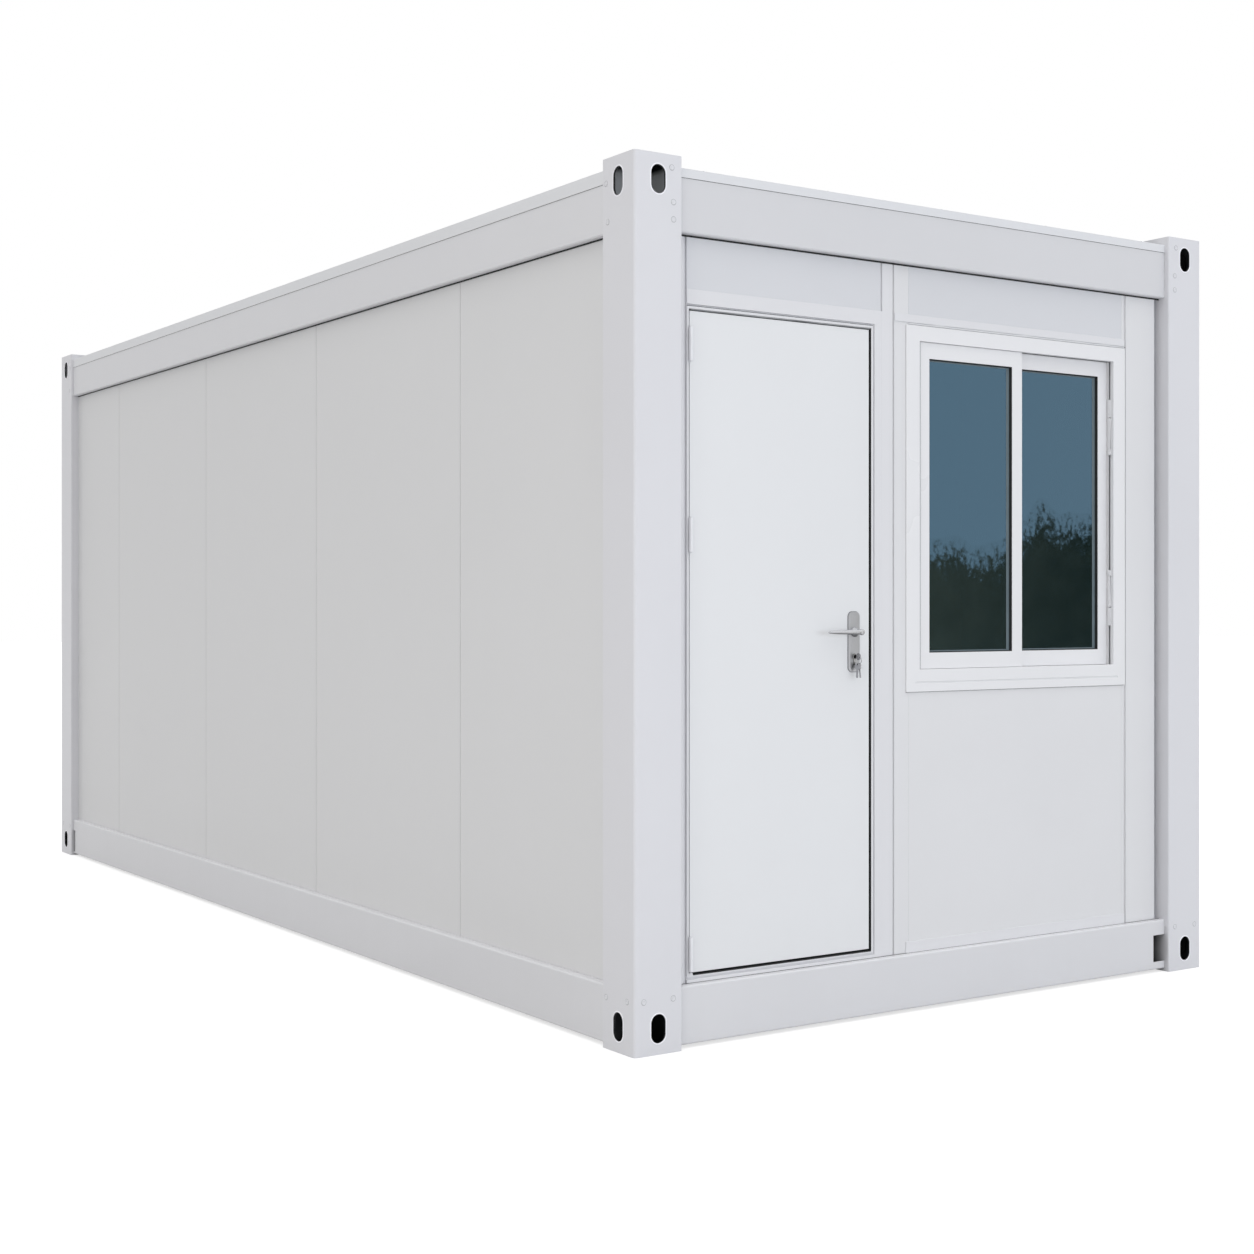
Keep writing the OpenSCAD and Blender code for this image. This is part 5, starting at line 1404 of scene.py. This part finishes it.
class CABIN_OT_stage(bpy.types.Operator):
    """Sets the camera, the pale floor, the soft lamps and the leafy screen for the glass"""
    bl_idname = "cabin.stage"
    bl_label = "Stage"

    def execute(self, context):
        setup = context.scene.cabin_stage
        self.camera(context, setup)
        self.sky(context, setup)
        self.floor()
        self.lamps(setup)
        self.leafy_screen(setup)
        context.scene.view_settings.view_transform = "Standard"
        return {"FINISHED"}

    def camera(self, context, setup):
        """A camera at eye level before the near left corner."""
        clear_old("cabin_camera")
        lens = bpy.data.cameras.new("cabin_camera")
        lens.sensor_width = 36.0
        lens.lens = setup.lens
        lens.shift_y = setup.rise
        camera = bpy.data.objects.new("cabin_camera", lens)
        camera.location = (CAD_LOW.x - setup.camera_side, CAD_LOW.y - setup.camera_front,
                           setup.camera_height)
        camera.rotation_euler = (math.radians(90), 0, -setup.camera_turn)
        context.scene.collection.objects.link(camera)
        context.scene.camera = camera

    def sky(self, context, setup):
        """A white room: full white to the camera and in reflections, while the light that falls
        on surfaces is stronger from above, as under a large light tent."""
        world = bpy.data.worlds.new("Light tent")
        tree = empty_tree(world)
        shown = self.seen_directly(tree)
        way = add_node(tree, "ShaderNodeTexCoord").outputs["Generated"]
        upward = add_node(tree, "ShaderNodeSeparateXYZ", links={0: way})
        steep = add_node(tree, "ShaderNodeMath", {"operation": "POWER", "use_clamp": True, 1: 2.0},
                         {0: upward.outputs["Z"]})
        tent = add_node(tree, "ShaderNodeMapRange",
                        {"To Min": setup.horizon, "To Max": setup.zenith},
                        {"Value": steep.outputs[0]})
        # Sockets 2 and 3 of a Mix node for numbers are what it shows at a factor of 0 and of 1
        strength = add_node(tree, "ShaderNodeMix", {"data_type": "FLOAT", 3: 1.0},
                            {0: shown, 2: tent.outputs[0]})
        light = add_node(tree, "ShaderNodeBackground", {"Color": (1, 1, 1, 1)},
                         {"Strength": strength.outputs[0]})
        add_node(tree, "ShaderNodeOutputWorld", links={"Surface": light.outputs[0]})
        context.scene.world = world

    def seen_directly(self, tree):
        """1 for what the camera, a reflection or glass shows, 0 for light on surfaces."""
        path = add_node(tree, "ShaderNodeLightPath")
        either = add_node(tree, "ShaderNodeMath", {"operation": "MAXIMUM"},
                          {0: path.outputs["Is Camera Ray"], 1: path.outputs["Is Glossy Ray"]})
        return add_node(tree, "ShaderNodeMath", {"operation": "MAXIMUM"},
                        {0: either.outputs[0],
                         1: path.outputs["Is Transmission Ray"]}).outputs[0]

    def floor(self):
        """A pale painted floor that goes over into the background and keeps the shadow."""
        material = bpy.data.materials.new("Matt studio paint")
        tree = empty_tree(material)
        plain = add_node(tree, "ShaderNodeBsdfDiffuse", {"Color": (0.5, 0.5, 0.5, 1)})
        # Lit by its own glow and the light that falls on it, it comes out white but for shadows
        pale = add_node(tree, "ShaderNodeBsdfDiffuse", {"Color": (0.42, 0.42, 0.42, 1)})
        glow = add_node(tree, "ShaderNodeEmission", {"Color": (1, 1, 1, 1), "Strength": 0.66})
        both = add_node(tree, "ShaderNodeAddShader", links={0: pale.outputs[0],
                                                            1: glow.outputs[0]})
        chosen = add_node(tree, "ShaderNodeMixShader", links={
            0: self.seen_directly(tree), 1: plain.outputs[0], 2: both.outputs[0]})
        add_node(tree, "ShaderNodeOutputMaterial", links={"Surface": chosen.outputs[0]})
        reach, under = 60.0, -0.0006
        bm = bmesh.new()
        bm.faces.new([bm.verts.new((x * reach, y * reach, under))
                      for x, y in ((-1, -1), (1, -1), (1, 1), (-1, 1))])
        add_object("studio_floor", bm, material)

    def lamps(self, setup):
        """A large cool lamp far before the front wall, and a small warm one before the near
        corner. Neither shows in the glass."""
        front = CAD_LOW.y
        # Each: name, side in metres, power, place, the point that it faces, and tint
        for name, size, power, place, aim, tint in (
                ("front_lamp", 7.0, setup.front_power, (2.5, front - 11.5, 0.8),
                 (0.0, front, 1.25), (0.90, 0.975, 1.09)),
                ("corner_lamp", 2.5, setup.corner_power, (-5.5, front - 2.8, 1.5),
                 (CAD_LOW.x, front + 0.6, 1.5), (1.0, 0.99, 0.97))):
            clear_old(name)
            light = bpy.data.lights.new(name, "AREA")
            light.shape = "SQUARE"
            light.size = size
            light.energy = power
            light.color = tint
            lamp = bpy.data.objects.new(name, light)
            lamp.location = place
            facing = Vector(aim) - lamp.location
            lamp.rotation_euler = facing.to_track_quat("-Z", "Y").to_euler()
            lamp.visible_camera = False
            lamp.visible_glossy = False
            bpy.context.scene.collection.objects.link(lamp)

    def leafy_screen(self, setup):
        """A dark leafy screen on the ground before the window, seen only in reflections, so
        that the glass keeps a dark foot with a ragged top under its pale upper part."""
        rng = random.Random(setup.seed)
        left, right, near = 5.4, 7.65, CAD_LOW.y - 6.0
        # It rises by 260 mm between 6.4 and 6.9 m, over waves of 0.2 to 2 m
        step_at, step_run, step_up = 6.4, 0.5, 0.26
        waves = [(rng.uniform(3.0, 26.0), rng.uniform(0, 6.28), rng.uniform(0.006, 0.02))
                 for _ in range(9)]
        bm = bmesh.new()
        foot, top = [], []
        count = 160
        for i in range(count + 1):
            x = left + (right - left) * i / count
            height = (setup.screen_height
                      + step_up * max(0.0, min(1.0, (x - step_at) / step_run)))
            height += sum(size * math.sin(rate * x + start) for rate, start, size in waves)
            foot.append(bm.verts.new((x, near, -0.2)))
            top.append(bm.verts.new((x, near, height)))
        for i in range(count):
            bm.faces.new((foot[i], foot[i + 1], top[i + 1], top[i]))
        depths = bm.loops.layers.float_color.new("depth")
        for face in bm.faces:
            for loop in face.loops:
                depth = 0.0 if loop.vert in top else 1.0
                loop[depths] = (depth, depth, depth, 1.0)
        screen = add_object("leafy_screen", bm, self.leaves())
        for ray in ("camera", "diffuse", "transmission", "volume_scatter", "shadow"):
            setattr(screen, "visible_" + ray, False)

    def leaves(self):
        """Dark leaves that glow, seen only in the glass as a painted reflection: gaps of light
        near the ragged top close up within 350 mm below it.
        """
        material = bpy.data.materials.new("Leafy screen")
        tree = empty_tree(material)
        place = add_node(tree, "ShaderNodeTexCoord").outputs["Object"]
        depth = add_node(tree, "ShaderNodeAttribute", {"attribute_name": "depth"}).outputs["Fac"]
        # The attribute runs from 0 at the top to 1 at the foot, about 2.1 m lower
        below = add_node(tree, "ShaderNodeMapRange",
                         {"From Min": 0.0, "From Max": 0.19, "To Min": 0.38, "To Max": 0.70},
                         {"Value": depth})
        stretched = add_node(tree, "ShaderNodeMapping", {"Scale": (24.0, 1.0, 17.0)},
                             {"Vector": place})
        twigs = add_node(tree, "ShaderNodeTexNoise",
                         {"Scale": 1.0, "Detail": 8.0, "Roughness": 0.8, "Distortion": 0.3},
                         {"Vector": stretched.outputs[0]})
        open_part = add_node(tree, "ShaderNodeMath", {"operation": "SUBTRACT"},
                             {0: twigs.outputs["Fac"], 1: below.outputs[0]})
        gap = add_node(tree, "ShaderNodeMapRange",
                       {"From Min": -0.04, "From Max": 0.06, "To Min": 0.0, "To Max": 0.95},
                       {"Value": open_part.outputs[0]})
        # Dry and brownish on the left, deep green on the right, in masses of about 250 mm
        across = add_node(tree, "ShaderNodeSeparateXYZ", links={0: place})
        turning = add_node(tree, "ShaderNodeMapRange",
                           {"From Min": 5.8, "From Max": 7.2, "To Min": 0.24, "To Max": -0.24},
                           {"Value": across.outputs["X"]})
        masses = add_node(tree, "ShaderNodeTexNoise", {"Scale": 4.0, "Detail": 6.0,
                                                       "Roughness": 0.7}, {"Vector": place})
        mottled = add_node(tree, "ShaderNodeMath", {"operation": "ADD", "use_clamp": True},
                           {0: masses.outputs["Fac"], 1: turning.outputs[0]})
        tone = add_node(tree, "ShaderNodeMix",
                        {"data_type": "RGBA", FIRST: linear("#333B2A"), SECOND: linear("#948468")},
                        {FACTOR: mottled.outputs[0]})
        glow = add_node(tree, "ShaderNodeEmission", {"Strength": 1.0},
                        {"Color": tone.outputs[MIXED]})
        clear = add_node(tree, "ShaderNodeBsdfTransparent")
        mixed = add_node(tree, "ShaderNodeMixShader", links={
            0: gap.outputs[0], 1: glow.outputs[0], 2: clear.outputs[0]})
        add_node(tree, "ShaderNodeOutputMaterial", links={"Surface": mixed.outputs[0]})
        return material


# ---------------------------------------------------------------- sidebar

OPERATORS = (CABIN_OT_stage, CABIN_OT_frame, CABIN_OT_walls, CABIN_OT_door, CABIN_OT_handle,
             CABIN_OT_window, CABIN_OT_roof_and_floor)


class CABIN_PT_sidebar(bpy.types.Panel):
    """Lists the colours, sizes and steps of the cabin"""
    bl_idname = "CABIN_PT_sidebar"
    bl_label = "Container cabin"
    bl_space_type = "VIEW_3D"
    bl_region_type = "UI"
    bl_category = "Cabin"

    def draw(self, context):
        layout = self.layout
        for heading, group in (("Colours", context.scene.cabin_colours),
                               ("Sizes", context.scene.cabin_sizes),
                               ("Stage", context.scene.cabin_stage)):
            box = layout.box()
            box.label(text=heading)
            for name in type(group).__annotations__:
                box.prop(group, name)
        for operator in OPERATORS:
            layout.operator(operator.bl_idname)


CLASSES = (CabinColours, CabinSizes, CabinStage) + OPERATORS + (CABIN_PT_sidebar,)


def register():
    for cls in CLASSES:
        bpy.utils.register_class(cls)
    bpy.types.Scene.cabin_colours = PointerProperty(type=CabinColours)
    bpy.types.Scene.cabin_sizes = PointerProperty(type=CabinSizes)
    bpy.types.Scene.cabin_stage = PointerProperty(type=CabinStage)


def unregister():
    for name in ("cabin_colours", "cabin_sizes", "cabin_stage"):
        delattr(bpy.types.Scene, name)
    for cls in reversed(CLASSES):
        bpy.utils.unregister_class(cls)


def main():
    register()
    bpy.ops.cabin.stage()
    bpy.ops.cabin.frame()
    bpy.ops.cabin.walls()
    bpy.ops.cabin.door()
    bpy.ops.cabin.handle()
    bpy.ops.cabin.window()
    bpy.ops.cabin.roof_and_floor()


if __name__ == "__main__":
    main()
